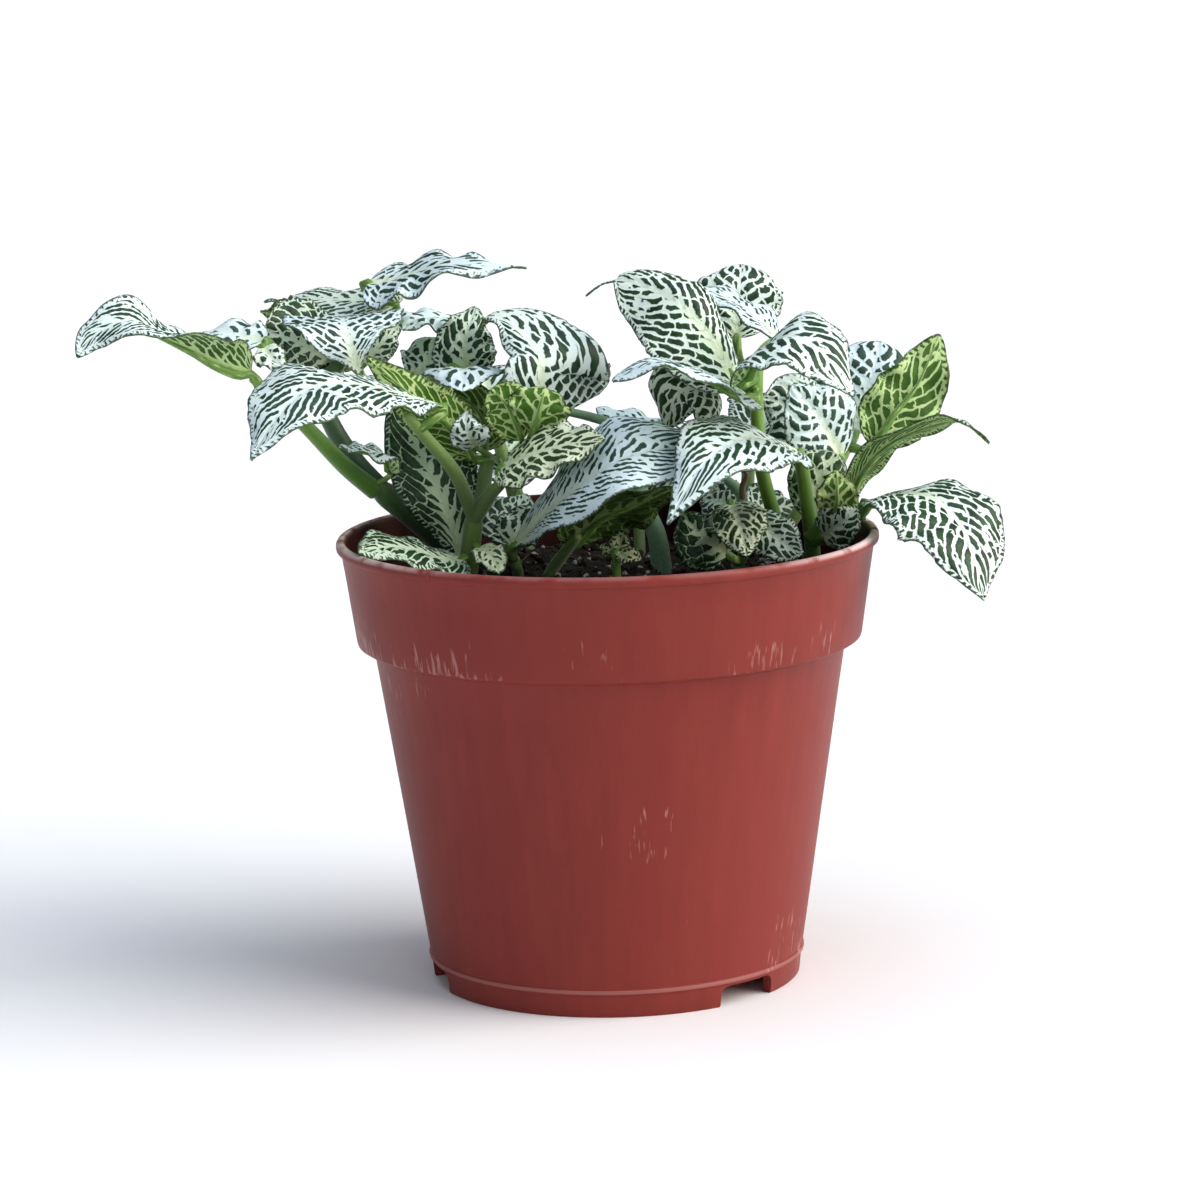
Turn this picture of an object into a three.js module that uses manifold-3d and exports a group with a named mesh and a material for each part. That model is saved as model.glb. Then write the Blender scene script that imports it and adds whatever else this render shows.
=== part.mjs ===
// A potted nerve plant: a moulded nursery pot, its potting soil, and the leafy stems that
// stand in plain holes in the soil. Millimetres, +Z up, standing on Z = 0.
// The stems and leaves are given from the pot's own axis; the last lines move the whole
// plant so that the middle of its footprint is the origin.
import * as THREE from 'three';
import { mergeVertices } from 'three/addons/utils/BufferGeometryUtils.js';
import Module from 'manifold-3d';

const wasm = await Module();
wasm.setup();

// Pot
const potHeight = 108;
const rimRadius = 65;
const lipHeight = 2.6;
const collarTopRadius = 63.8;
const collarFootRadius = 60.6;
const collarFootHeight = 83.4;
const bodyTopRadius = 56.6;
const shoulderHeight = 81.6;
const bodyFootRadius = 45.2;
const seamHeight = 6.2;
const seamDepth = 0.5;
const footRadius = 44.4;
const potWall = 1.8;
const footWall = 2.2;
const potSides = 44;
const notchAngles = [44, 164, 284];
const notchWidth = 17;
const notchHeight = 5;
const notchCorner = 2.4;
const notchReach = 12;
const drainCount = 8;
const drainRadius = 3.5;
const drainCircle = 30;

// Soil
const soilHeight = 96;
const soilFoot = 9;
const soilGap = 0.4;
const soilSides = 32;
const soilRings = 5;
const moundHeight = 1.1;
const holeGap = 0.7;
const holeSides = 8;
const rootDepth = 14;
const holeRun = 12;

// Leaves
const bladeThickness = 0.8;
const bladeFootWidth = 1.6;
const largeLeaf = 22;
const smallLeaf = 13;
const smallStations = 4;
const stalkRadius = 1.1;
const smallStalkRadius = 0.8;
const stalkReach = 0.09;
const stemSides = 6;
const stemStep = 13;

// Where the middle of the footprint lies from the pot's axis
const footprintX = -14;
const footprintY = 15;

// Each shoot has its stems, the rooted ones standing in the soil, and its leaves. A leaf has
// its midrib from foot to tip, the place on the stem that its stalk comes from, its width and
// the way that its upper face looks. Fold and bend are degrees for its left and right half,
// and drip is the share of its length that the thin tip takes.
const leafHabit = {
  fold: [20, 20],
  open: 0.5,
  bend: [15, 15],
  wave: 1,
  ripples: 3,
  phase: 0,
  twist: 0,
  lean: 0,
  footShape: 0.62,
  tipShape: 0.95,
  drip: 0,
};

const stem = (radius, rooted, ...path) => ({ radius, rooted, path });
const leaf = (width, from, rib, faces, habit = {}) => ({ ...leafHabit, width, from, rib, faces, ...habit });

const shoots = [
  {
    name: 'shoot_left_leaning',
    colour: '#7f9a86',
    stems: [
      stem(3.2, true, [-29, 30, 86], [-35, 28, 96], [-43, 25, 105], [-56, 16, 118]),
      stem(1.8, false, [-56, 15, 117], [-63, 10, 124], [-71, 4, 134], [-78, 0, 142], [-84, 0, 147]),
      stem(
        2,
        false,
        [-55, 17, 117],
        [-61, 18, 124],
        [-66, 20, 132],
        [-69, 23, 140],
        [-65, 28, 146],
        [-59, 32, 153],
        [-53, 35, 160],
      ),
      stem(1.1, false, [-69, 23, 140], [-73, 15, 144], [-76, 8, 149], [-80, 5, 153]),
    ],
    leaves: [
      leaf(
        20,
        [-82, 0, 145],
        [
          [-84, 0, 148],
          [-91, -2, 151],
          [-97, -5, 155],
          [-104, -8, 159],
          [-111, -11, 163],
          [-119, -14, 160],
          [-123, -17, 155],
        ],
        [0, -0.35, 1],
        { fold: [60, 15], open: 0, bend: [10, 0], footShape: 0.5, twist: -80 },
      ),
      leaf(
        22,
        [-64, 29, 148],
        [[-63, 32, 145], [-69, 28, 149], [-75, 24, 153], [-82, 20, 156]],
        [0.1, -1, 0.4],
        { fold: [15, 15], footShape: 0.6, tipShape: 0.5 },
      ),
      leaf(
        15,
        [-80, 5, 153],
        [[-81, 8, 155], [-86, 10, 156], [-91, 12, 157], [-97, 13, 156]],
        [0, -0.5, 1],
        { fold: [10, 10] },
      ),
      leaf(
        7,
        [-79, 6, 152],
        [[-81, 3, 154], [-79, 0, 152], [-76, -3, 150]],
        [0, -1, 1],
        { fold: [20, 20] },
      ),
      leaf(
        28.5,
        [-72, 16, 143],
        [[-58, 10, 145], [-60, 6, 152], [-62, 9, 158], [-63, 20, 159], [-65, 32, 156]],
        [0.26, -0.8, 0.6],
        { fold: [0, 4], bend: [0, 0], open: 1, lean: 0, footShape: 2, tipShape: 1.1 },
      ),
      leaf(
        23,
        [-54, 35, 159],
        [[-50, 34, 160], [-58, 38, 161], [-67, 42, 161], [-77, 48, 161], [-84, 50, 160]],
        [0, -0.3, 1],
        { fold: [10, 10], drip: 0.2 },
      ),
      leaf(
        9,
        [-59, 32, 153],
        [[-71, 40, 158], [-76, 40, 159], [-80, 39, 159], [-84, 37, 159]],
        [0, 0.5, 1],
        { fold: [25, 25], wave: 1.5 },
      ),
      leaf(
        8,
        [-64, 29, 148],
        [[-58, 22, 147], [-55, 19, 151], [-52, 19, 154], [-49, 23, 157]],
        [0.3, -1, 0.3],
        { fold: [25, 5] },
      ),
      leaf(
        23,
        [-53, 35, 160],
        [
          [-57, 30, 166],
          [-51, 28, 167],
          [-45, 26, 169],
          [-38, 22, 171],
          [-29, 20, 171],
          [-18, 20, 170],
        ],
        [0, -0.35, 1],
        { fold: [10, 10], wave: 1.8, tipShape: 1.2, footShape: 0.35 },
      ),
      leaf(
        10,
        [-57, 14, 118],
        [[-52, 12, 122], [-53, 6, 127], [-58, 0, 129], [-63, -4, 131]],
        [0, -0.5, 1],
        { fold: [20, 20] },
      ),
    ],
  },
  {
    name: 'shoot_left_front',
    colour: '#87a190',
    stems: [
      stem(2.4, true, [-36, 15, 86], [-34, 12, 97], [-33, 10, 104], [-32, 8, 111]),
      stem(1.6, false, [-32, 8, 111], [-36, 0, 123], [-42, -6, 132], [-47, -10, 139]),
      stem(1.8, false, [-32, 8, 111], [-30, 12, 116], [-29, 14, 122], [-28, 14, 125]),
      stem(1.8, false, [-32, 8, 111], [-28, 4, 117], [-25, 2, 120]),
    ],
    leaves: [
      leaf(
        30,
        [-44, -8, 135],
        [
          [-38, -6, 140],
          [-48, -12, 144],
          [-59, -21, 148],
          [-69, -31, 148],
          [-76, -40, 142],
          [-81, -46, 134],
        ],
        [-0.1, -0.6, 1],
        { fold: [15, 5], bend: [15, 15], footShape: 1, tipShape: 1.3, lean: 0.05, wave: 1.4, ripples: 4 },
      ),
      leaf(
        20,
        [-34, 12, 95],
        [[-35, 12, 99], [-38, 12, 110], [-42, 13, 120], [-46, 13, 129], [-51, 14, 139]],
        [0, -1, 0.3],
        { fold: [15, 15], footShape: 1, tipShape: 0.8, lean: 0.1 },
      ),
      leaf(
        14,
        [-28, 14, 124],
        [[-32, 12, 125], [-38, 6, 134], [-45, 0, 141], [-56, -4, 152]],
        [-0.3, 1, 0.1],
        { fold: [15, 15], bend: [0, 0] },
      ),
      leaf(
        13,
        [-28, 14, 124],
        [[-29, 22, 125], [-29, 24, 131], [-33, 26, 137], [-41, 26, 141]],
        [0.2, 1, 0.5],
        { fold: [15, 15], bend: [0, 0] },
      ),
      leaf(
        9,
        [-28, 14, 125],
        [[-31, 9, 128], [-32, 2, 131], [-33, -1, 134], [-33, -1, 138]],
        [0, -1, 0.2],
        { fold: [20, 20] },
      ),
      leaf(
        12,
        [-25, 2, 120],
        [[-20, 6, 130], [-22, 2, 136], [-24, 1, 140], [-27, 1, 143]],
        [-0.3, 1, 0.2],
        { fold: [10, 10], bend: [0, 0], footShape: 0.5, tipShape: 0.6 },
      ),
      leaf(
        15,
        [-25, 2, 120],
        [[-17, 4, 132], [-16, -1, 136], [-15, -2, 140], [-14, 0, 143]],
        [0, 1, 0.2],
        { fold: [15, 15], bend: [0, 0], footShape: 0.5, tipShape: 0.5, wave: 1.3 },
      ),
      leaf(
        20,
        [-25, 2, 120],
        [[-25, 2, 124], [-18, -6, 128], [-10, -12, 131], [0, -16, 133]],
        [0, -0.75, 1],
        { fold: [15, 15], footShape: 0.5, tipShape: 0.8, wave: 1.2, ripples: 4 },
      ),
      leaf(
        17,
        [-33, 11, 102],
        [[-35, 8, 101], [-40, -2, 103], [-47, -10, 107], [-53, -20, 109], [-58, -28, 109]],
        [0, -0.9, 1],
        { fold: [10, 10] },
      ),
      leaf(
        7,
        [-33, 10, 105],
        [[-31, 6, 104], [-29, 0, 104], [-27, -4, 102], [-26, -8, 100]],
        [0.2, -1, 0.4],
        { fold: [20, 20] },
      ),
    ],
  },
  {
    name: 'shoot_left_back',
    colour: '#7d9b88',
    stems: [
      stem(
        1.7,
        true,
        [-36, 42, 86],
        [-38, 40, 96],
        [-40, 38, 106],
        [-41, 36, 119],
        [-39, 36, 133],
        [-38, 34, 142],
        [-37, 34, 150],
      ),
    ],
    leaves: [
      leaf(
        19,
        [-38, 34, 145],
        [[-34, 26, 144], [-34, 19, 146], [-34, 12, 146], [-34, 6, 142]],
        [0, -0.45, 1],
        { fold: [10, 10], wave: 0.5, footShape: 0.5, tipShape: 0.8 },
      ),
      leaf(
        14,
        [-37, 34, 150],
        [[-35, 46, 155], [-41, 43, 156], [-46, 39, 156], [-49, 34, 154]],
        [0, -0.3, 1],
        { fold: [10, 10] },
      ),
      leaf(
        15,
        [-38, 34, 143],
        [[-33, 33, 142], [-34, 32, 148], [-33, 32, 154], [-31, 36, 159]],
        [0.1, -1, 0.2],
        { fold: [15, 15], footShape: 0.35, tipShape: 0.8 },
      ),
      leaf(
        14,
        [-38, 34, 141],
        [[-47, 36, 142], [-44, 38, 145], [-42, 41, 148], [-39, 44, 151]],
        [-0.3, -1, 0.6],
        { fold: [15, 15] },
      ),
    ],
  },
  {
    name: 'shoot_middle',
    colour: '#8ba896',
    stems: [
      stem(
        2.2,
        true,
        [14, 5, 86],
        [13, 8, 97],
        [12, 10, 105],
        [10, 14, 110],
        [8, 22, 117],
        [12, 30, 126],
        [15, 32, 129],
      ),
      stem(1.2, false, [15, 32, 129], [9, 30, 129], [2, 24, 131], [-5, 17, 134], [-11, 13, 136]),
    ],
    leaves: [
      leaf(
        33,
        [-11, 13, 136],
        [
          [-14, 12, 133],
          [-15, 11, 139],
          [-15, 10, 145],
          [-15, 12, 150],
          [-19, 17, 154],
          [-23, 21, 157],
          [-28, 23, 158],
          [-30, 23, 155],
        ],
        [0.75, -1, 0.5],
        { fold: [5, 5], bend: [20, 5], footShape: 0.22, tipShape: 1.3, lean: 0.4 },
      ),
      leaf(
        13,
        [12, 29, 125],
        [[12, 32, 127], [9, 38, 128], [4, 42, 130], [-2, 46, 132]],
        [0, -0.4, 1],
        { fold: [10, 10] },
      ),
    ],
  },
  {
    name: 'shoot_low_front',
    colour: '#7f9c90',
    stems: [
      stem(1.4, true, [-21, 18, 86], [-22, 12, 97], [-23, 8, 100], [-23, 4, 104]),
    ],
    leaves: [
      leaf(
        28,
        [-23, 7, 101],
        [[-23, 4, 104], [-15, -8, 114], [-6, -15, 122], [6, -16, 129], [24, -9, 130]],
        [0, -0.6, 1],
        { fold: [15, 15], footShape: 1.1, tipShape: 0.6, lean: -0.2 },
      ),
      leaf(
        17,
        [-22, 10, 99],
        [[-24, 13, 103], [-24, 20, 107], [-22, 26, 110], [-20, 32, 113]],
        [0, -1, 0.3],
        { fold: [15, 15] },
      ),
      leaf(
        11,
        [-23, 8, 100],
        [[-23, 6, 104], [-22, 6, 107], [-19, 8, 110], [-15, 10, 113]],
        [0, -1, 0.5],
        { fold: [15, 15] },
      ),
    ],
  },
  {
    name: 'shoot_small_middle',
    colour: '#5d7a4e',
    stems: [
      stem(1.5, true, [-18, 11, 86], [-14, 6, 97], [-11, 2, 102], [-7, -4, 108]),
    ],
    leaves: [
      leaf(
        25,
        [-11, 2, 102],
        [[-9, 0, 105], [-2, -4, 112], [7, -7, 116], [16, -9, 120]],
        [0, 0.5, 1],
        { fold: [15, 15] },
      ),
    ],
  },
  {
    name: 'seedling',
    colour: '#8ea548',
    stems: [
      stem(1.1, true, [2, 0, 86], [2, 0, 97], [2, 0, 101], [2, 0, 104]),
    ],
    leaves: [
      leaf(
        5,
        [2, 0, 99],
        [[2, 1, 103], [3, 2, 105], [4, 2, 108]],
        [-0.4, -1, 0.2],
        { fold: [20, 20], wave: 0 },
      ),
      leaf(
        4.5,
        [2, 0, 99],
        [[2, -1, 103], [5, -3, 103], [8, -4, 102]],
        [0, -1, 1],
        { fold: [10, 10], wave: 0 },
      ),
      leaf(
        4,
        [2, 0, 99],
        [[1, 0, 103], [0, 2, 104], [-2, 3, 104]],
        [0, -1, 1],
        { fold: [10, 10], wave: 0 },
      ),
    ],
  },
  {
    name: 'shoot_right_tall',
    colour: '#86a38c',
    stems: [
      stem(
        1.7,
        true,
        [47, 24, 86],
        [44, 22, 97],
        [41, 20, 107],
        [38, 18, 119],
        [37, 16, 130],
        [37, 16, 144],
        [39, 22, 148],
        [43, 28, 150],
      ),
    ],
    leaves: [
      leaf(
        26,
        [37, 16, 142],
        [
          [32, 12, 142],
          [27, 8, 151],
          [23, 6, 157],
          [18, 7, 162],
          [12, 11, 165],
          [5, 15, 167],
          [0, 17, 166],
          [-4, 19, 163],
        ],
        [-0.1, -1, 0.3],
        { fold: [5, 0], bend: [0, 52], tipShape: 0.62, footShape: 0.42, wave: 0.6, lean: -0.05, drip: 0.24 },
      ),
      leaf(
        13,
        [41, 25, 149],
        [[43, 28, 150], [37, 32, 156], [28, 36, 161], [16, 40, 163]],
        [0, -0.1, 1],
        { fold: [20, 20], footShape: 0.5 },
      ),
      leaf(
        22,
        [37, 16, 144],
        [[33, 40, 149], [33, 44, 155], [34, 48, 161], [35, 54, 166]],
        [0, -1, 0.5],
        { fold: [10, 10], footShape: 0.6, tipShape: 0.5 },
      ),
      leaf(
        28,
        [37, 16, 142],
        [[33, 6, 143], [37, 0, 150], [44, -6, 155], [52, -10, 151], [59, -12, 141]],
        [0.2, -0.6, 1],
        { fold: [15, 15], wave: 1.3 },
      ),
      leaf(
        18,
        [37, 15, 139],
        [[35, 6, 139], [29, -2, 143], [21, -10, 148], [11, -16, 151], [2, -20, 147]],
        [0, -0.2, 1],
        { fold: [10, 10], footShape: 0.35, tipShape: 0.7, twist: 30 },
      ),
      leaf(
        20,
        [37, 15, 140],
        [[27, 15, 140], [22, 11, 141], [17, 10, 139], [15, 10, 131]],
        [-0.3, -1, 0.5],
        { fold: [10, 10] },
      ),
    ],
  },
  {
    name: 'shoot_right_front',
    colour: '#86a190',
    stems: [
      stem(1.9, true, [51, 18, 86], [50, 16, 98], [49, 14, 108], [47, 9, 124]),
      stem(1.6, false, [49, 14, 103], [53, 12, 108], [57, 10, 112]),
      stem(1.4, false, [49, 15, 102], [56, 9, 105], [63, 4, 112]),
    ],
    leaves: [
      leaf(
        26,
        [47, 10, 121],
        [[47, 9, 125], [43, 4, 127], [36, -6, 131], [29, -15, 131], [22, -26, 127], [14, -34, 115]],
        [0.2, -0.5, 1],
        { fold: [15, 15], footShape: 1, tipShape: 1.25 },
      ),
      leaf(
        15,
        [49, 15, 106],
        [[50, 18, 107], [51, 18, 114], [53, 18, 119], [56, 20, 123]],
        [0, -1, 0.2],
        { fold: [10, 10], tipShape: 0.6 },
      ),
      leaf(
        8.5,
        [55, 11, 111],
        [[58, 10, 113], [62, 7, 121], [68, 2, 128], [78, -4, 133], [85, -8, 134], [91, -10, 129]],
        [0, 0.7, 1],
        { fold: [20, 20], footShape: 0.35, drip: 0.12 },
      ),
      leaf(
        30,
        [61, 6, 109],
        [[62, 5, 113], [70, -3, 116], [77, -9, 116], [83, -15, 111], [86, -21, 104], [88, -26, 94]],
        [0.3, -0.6, 1],
        { fold: [15, 15], lean: 0.12, wave: 1.3, ripples: 4, footShape: 0.85 },
      ),
      leaf(
        10,
        [59, 6, 108],
        [[54, 3, 111], [55, -1, 114], [55, -3, 118], [55, -2, 122]],
        [0, 1, 0.3],
        { fold: [20, 20], wave: 1 },
      ),
      leaf(
        11,
        [54, 11, 104],
        [[52, 8, 104], [54, 2, 107], [57, -2, 110], [60, -2, 113]],
        [0, -1, 0.4],
        { fold: [20, 20], wave: 1 },
      ),
    ],
  },
  {
    name: 'shoot_right_back',
    colour: '#8fab8f',
    stems: [
      stem(1.5, true, [35, 30, 86], [41, 30, 97], [47, 30, 107], [54, 33, 114], [60, 36, 122]),
    ],
    leaves: [
      leaf(
        28,
        [60, 36, 122],
        [[62, 40, 125], [64, 44, 132], [67, 48, 139], [69, 54, 146]],
        [0, -1, 0.4],
        { fold: [10, 10], footShape: 0.45, tipShape: 0.5 },
      ),
      leaf(
        20,
        [57, 35, 118],
        [[58, 32, 120], [54, 28, 128], [50, 26, 134], [46, 28, 139]],
        [0.2, -1, 0.5],
        { fold: [15, 15] },
      ),
      leaf(
        18,
        [60, 36, 122],
        [[66, 34, 122], [71, 34, 130], [77, 36, 137], [83, 40, 149]],
        [0.1, 0.9, 0.3],
        { fold: [15, 15], wave: 2, ripples: 3.5, tipShape: 0.8 },
      ),
      leaf(
        21,
        [59, 35, 120],
        [[55, 40, 121], [49, 38, 128], [44, 36, 133], [39, 34, 135]],
        [-0.2, -1, 0.6],
        { fold: [15, 15] },
      ),
    ],
  },
  {
    name: 'shoot_right_low',
    colour: '#55705c',
    stems: [
      stem(1.4, true, [27, 6, 86], [31, 10, 96], [33, 12, 101], [33, 20, 112], [29, 24, 117]),
    ],
    leaves: [
      leaf(
        16,
        [32, 11, 98],
        [[29, 4, 101], [25, 0, 105], [21, 0, 108], [18, 2, 112]],
        [0, -1, 0.4],
        { fold: [15, 15] },
      ),
      leaf(
        14,
        [33, 18, 109],
        [[30, 14, 112], [31, 4, 111], [32, -5, 108], [33, -10, 103]],
        [0, -1, 0.4],
        { fold: [15, 15] },
      ),
      leaf(
        12,
        [33, 16, 106],
        [[35, 16, 109], [39, 8, 106], [43, 4, 103], [47, 2, 101]],
        [0, -1, 0.8],
        { fold: [15, 15] },
      ),
      leaf(
        13,
        [33, 20, 112],
        [[31, 24, 109], [28, 30, 110], [26, 34, 110], [23, 38, 109]],
        [0, -1, 0.4],
        { fold: [10, 10] },
      ),
      leaf(
        12,
        [33, 19, 111],
        [[35, 23, 108], [39, 28, 109], [43, 33, 108], [47, 36, 108]],
        [0, -1, 0.4],
        { fold: [10, 10] },
      ),
    ],
  },
  {
    name: 'shoot_rear_left',
    colour: '#7f9a86',
    stems: [
      stem(1.8, true, [-17, 35, 86], [-20, 40, 97], [-24, 48, 114], [-29, 56, 130]),
    ],
    leaves: [
      leaf(
        24,
        [-28, 55, 127],
        [[-29, 57, 130], [-30, 70, 138], [-31, 82, 137], [-32, 94, 126]],
        [0, 0.2, 1],
      ),
      leaf(
        20,
        [-28, 54, 126],
        [[-30, 56, 129], [-44, 60, 136], [-56, 65, 138], [-66, 71, 133]],
        [-0.2, 0.3, 1],
      ),
      leaf(
        20,
        [-25, 49, 117],
        [[-26, 51, 120], [-17, 61, 124], [-11, 71, 121], [-6, 80, 110]],
        [0.2, 0.4, 1],
      ),
      leaf(
        20,
        [-23, 45, 108],
        [[-22, 46, 112], [-27, 56, 118], [-31, 66, 117], [-34, 77, 109]],
        [-0.2, 0.6, 1],
      ),
    ],
  },
  {
    name: 'shoot_rear_right',
    colour: '#7f9a86',
    stems: [
      stem(1.8, true, [32, 29, 86], [33, 35, 97], [35, 43, 110], [36, 52, 122]),
    ],
    leaves: [
      leaf(24, [36, 50, 120], [[37, 53, 122], [43, 65, 130], [46, 78, 129], [49, 90, 118]], [0, 0.2, 1]),
      leaf(
        22,
        [35, 46, 115],
        [[36, 50, 116], [46, 58, 123], [54, 67, 122], [60, 77, 113]],
        [0.2, 0.4, 1],
      ),
      leaf(
        21,
        [36, 48, 117],
        [[33, 50, 116], [26, 58, 123], [21, 66, 125], [16, 75, 120]],
        [-0.2, 0.4, 1],
      ),
    ],
  },
  {
    name: 'shoot_rear_middle',
    colour: '#7f9a86',
    stems: [
      stem(1.4, true, [8, 38, 86], [8, 44, 97], [8, 49, 106], [8, 54, 113]),
    ],
    leaves: [
      leaf(20, [8, 52, 110], [[8, 54, 113], [9, 65, 116], [9, 76, 112], [9, 87, 101]], [0, 0.3, 1]),
      leaf(17, [8, 48, 104], [[9, 50, 107], [18, 56, 112], [26, 63, 110], [33, 70, 103]], [0.2, 0.5, 1]),
    ],
  },
];

const radians = THREE.MathUtils.degToRad;

function solidOf(geometry) {
  const bare = geometry.index ? geometry.toNonIndexed() : geometry.clone();
  bare.deleteAttribute('normal');
  bare.deleteAttribute('uv');
  const shared = mergeVertices(bare, 1e-3);
  const vertProperties = Float32Array.from(shared.attributes.position.array);
  const triVerts = Uint32Array.from(shared.index.array);
  return new wasm.Manifold(new wasm.Mesh({ numProp: 3, vertProperties, triVerts }));
}

function geometryOf(solid) {
  const mesh = solid.getMesh();
  const geometry = new THREE.BufferGeometry();
  geometry.setAttribute('position', new THREE.BufferAttribute(mesh.vertProperties, 3));
  geometry.setIndex(new THREE.BufferAttribute(mesh.triVerts, 1));
  geometry.computeVertexNormals();
  return geometry;
}

function meshOf(name, solid, colour, roughness) {
  const material = new THREE.MeshStandardMaterial({ color: colour, roughness, metalness: 0 });
  const mesh = new THREE.Mesh(geometryOf(solid), material);
  mesh.name = name;
  return mesh;
}

function pointOf(place) {
  return new THREE.Vector3(...place);
}

// A closed profile of [radius, height] pairs, turned about the pot's axis.
function turned(profile, sides) {
  const points = profile.map(([radius, height]) => new THREE.Vector2(radius, height));
  const geometry = new THREE.LatheGeometry(points, sides);
  geometry.rotateX(Math.PI / 2);
  return solidOf(geometry);
}

// A round bar between two places, for holes.
function bar(from, to, radius, sides) {
  const along = to.clone().sub(from);
  const geometry = new THREE.CylinderGeometry(radius, radius, along.length(), sides);
  const turn = new THREE.Quaternion();
  turn.setFromUnitVectors(new THREE.Vector3(0, 1, 0), along.clone().normalize());
  geometry.applyQuaternion(turn);
  geometry.translate(...from.clone().add(to).multiplyScalar(0.5).toArray());
  return solidOf(geometry);
}

// The pot: foot ring, recessed base, tapered body, stepped collar and a rounded lip.
function makePot() {
  const lipFoot = potHeight - lipHeight;
  const outside = [
    [0, seamHeight],
    [footRadius - footWall - 0.3, seamHeight],
    [footRadius - footWall, 0],
    [footRadius, 0],
    [bodyFootRadius - 0.2, seamHeight - 0.7],
    [bodyFootRadius + seamDepth, seamHeight],
    [bodyFootRadius + 0.1, seamHeight + 0.8],
    [bodyTopRadius, shoulderHeight],
    [collarFootRadius - 0.9, collarFootHeight - 0.9],
    [collarFootRadius, collarFootHeight],
    [collarTopRadius, lipFoot],
    [rimRadius, lipFoot + 0.7],
    [rimRadius, potHeight - 0.8],
    [rimRadius - 1, potHeight],
  ];
  const inside = [
    [rimRadius - 2.4, potHeight - 0.3],
    [collarTopRadius - potWall, potHeight - 2.4],
    [collarFootRadius - potWall, collarFootHeight + 1.4],
    [bodyTopRadius - potWall, shoulderHeight - 0.4],
    [bodyFootRadius - potWall - 0.4, seamHeight + potWall],
    [0, seamHeight + potWall],
  ];
  let pot = turned([...outside, ...inside], potSides);
  for (const angle of notchAngles) {
    pot = pot.subtract(notch(angle));
  }
  for (let i = 0; i < drainCount; i += 1) {
    const angle = radians((i * 360) / drainCount);
    const foot = new THREE.Vector3(Math.cos(angle), Math.sin(angle), 0).multiplyScalar(drainCircle);
    const top = foot.clone().setZ(seamHeight + 2 * potWall);
    pot = pot.subtract(bar(foot, top, drainRadius, holeSides));
  }
  return pot;
}

// One drainage notch of the foot ring, round-cornered at its top; the angle turns from the
// front of the pot towards +X.
function notch(angle) {
  const half = notchWidth / 2;
  const rise = notchHeight - notchCorner;
  const outline = new THREE.Shape();
  outline.moveTo(-half, -notchCorner);
  outline.lineTo(half, -notchCorner);
  outline.lineTo(half, rise);
  outline.absarc(half - notchCorner, rise, notchCorner, 0, Math.PI / 2, false);
  outline.lineTo(notchCorner - half, notchHeight);
  outline.absarc(notchCorner - half, rise, notchCorner, Math.PI / 2, Math.PI, false);
  const geometry = new THREE.ExtrudeGeometry(outline, {
    depth: notchReach,
    bevelEnabled: false,
    curveSegments: 3,
  });
  geometry.rotateX(Math.PI / 2);
  geometry.translate(0, footWall - footRadius + notchReach / 2, 0);
  geometry.rotateZ(radians(angle));
  return solidOf(geometry);
}

// A height of the soil's uneven top at a place.
function soilTop(x, y) {
  const broad = Math.sin(x * 0.13 + 1) * Math.cos(y * 0.11 - 0.4);
  const small = 0.5 * Math.sin(x * 0.31 - y * 0.27);
  return soilHeight + moundHeight * (broad + small);
}

// The soil fills the pot up to its uneven top, with a plain hole where each stem stands.
function makeSoil(stems) {
  const slope = (bodyTopRadius - bodyFootRadius) / (shoulderHeight - seamHeight);
  const inset = potWall + soilGap;
  const bodyRadiusAt = (height) => bodyFootRadius + slope * (height - seamHeight) - inset;
  const collarRun = collarTopRadius - collarFootRadius;
  const collarSlope = collarRun / (potHeight - lipHeight - collarFootHeight);
  const brim = collarFootRadius + collarSlope * (soilHeight - collarFootHeight) - inset;
  const collarFoot = collarFootRadius - inset;
  const profile = [
    [0, soilFoot],
    [bodyRadiusAt(soilFoot) - 0.6, soilFoot],
    [bodyRadiusAt(shoulderHeight - 0.8), shoulderHeight - 0.8],
    [collarFoot, collarFootHeight + 2],
    [brim - 0.2, soilHeight - 0.8],
  ];
  for (let i = soilRings - 1; i >= 0; i -= 1) {
    profile.push([(brim - 1) * (i / (soilRings - 1)), soilHeight]);
  }
  const points = profile.map(([radius, height]) => new THREE.Vector2(radius, height));
  const geometry = new THREE.LatheGeometry(points, soilSides);
  geometry.rotateX(Math.PI / 2);
  const place = geometry.attributes.position;
  for (let i = 0; i < place.count; i += 1) {
    if (place.getZ(i) > soilHeight - 0.1) {
      place.setZ(i, soilTop(place.getX(i), place.getY(i)));
    }
  }
  let soil = solidOf(geometry);
  for (const stem of stems) {
    const [foot, next] = stem.path.map(pointOf);
    const along = next.clone().sub(foot).normalize();
    const top = foot.clone().addScaledVector(along, rootDepth + holeRun);
    const bottom = foot.clone().addScaledVector(along, -holeGap);
    soil = soil.subtract(bar(bottom, top, stem.radius + holeGap, holeSides));
  }
  return soil;
}

// A stem or leaf stalk: a round section led along its curve.
function makeStem(stem) {
  const curve = new THREE.CatmullRomCurve3(stem.path.map(pointOf), false, 'catmullrom', 0.5);
  const section = new THREE.Shape();
  section.absarc(0, 0, stem.radius, 0, Math.PI * 2, false);
  const geometry = new THREE.ExtrudeGeometry(section, {
    steps: Math.max(2, Math.round(curve.getLength() / stemStep)),
    extrudePath: curve,
    curveSegments: stemSides / 2,
    bevelEnabled: false,
  });
  return solidOf(geometry);
}

// Half-width of a leaf along its midrib as a share of its widest: pointed at the tip and
// rounder at the foot.
function outlineShare(along, foot, tip) {
  const widest = foot / (foot + tip);
  const scale = widest ** foot * (1 - widest) ** tip;
  return (along ** foot * (1 - along) ** tip) / scale;
}

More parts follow.
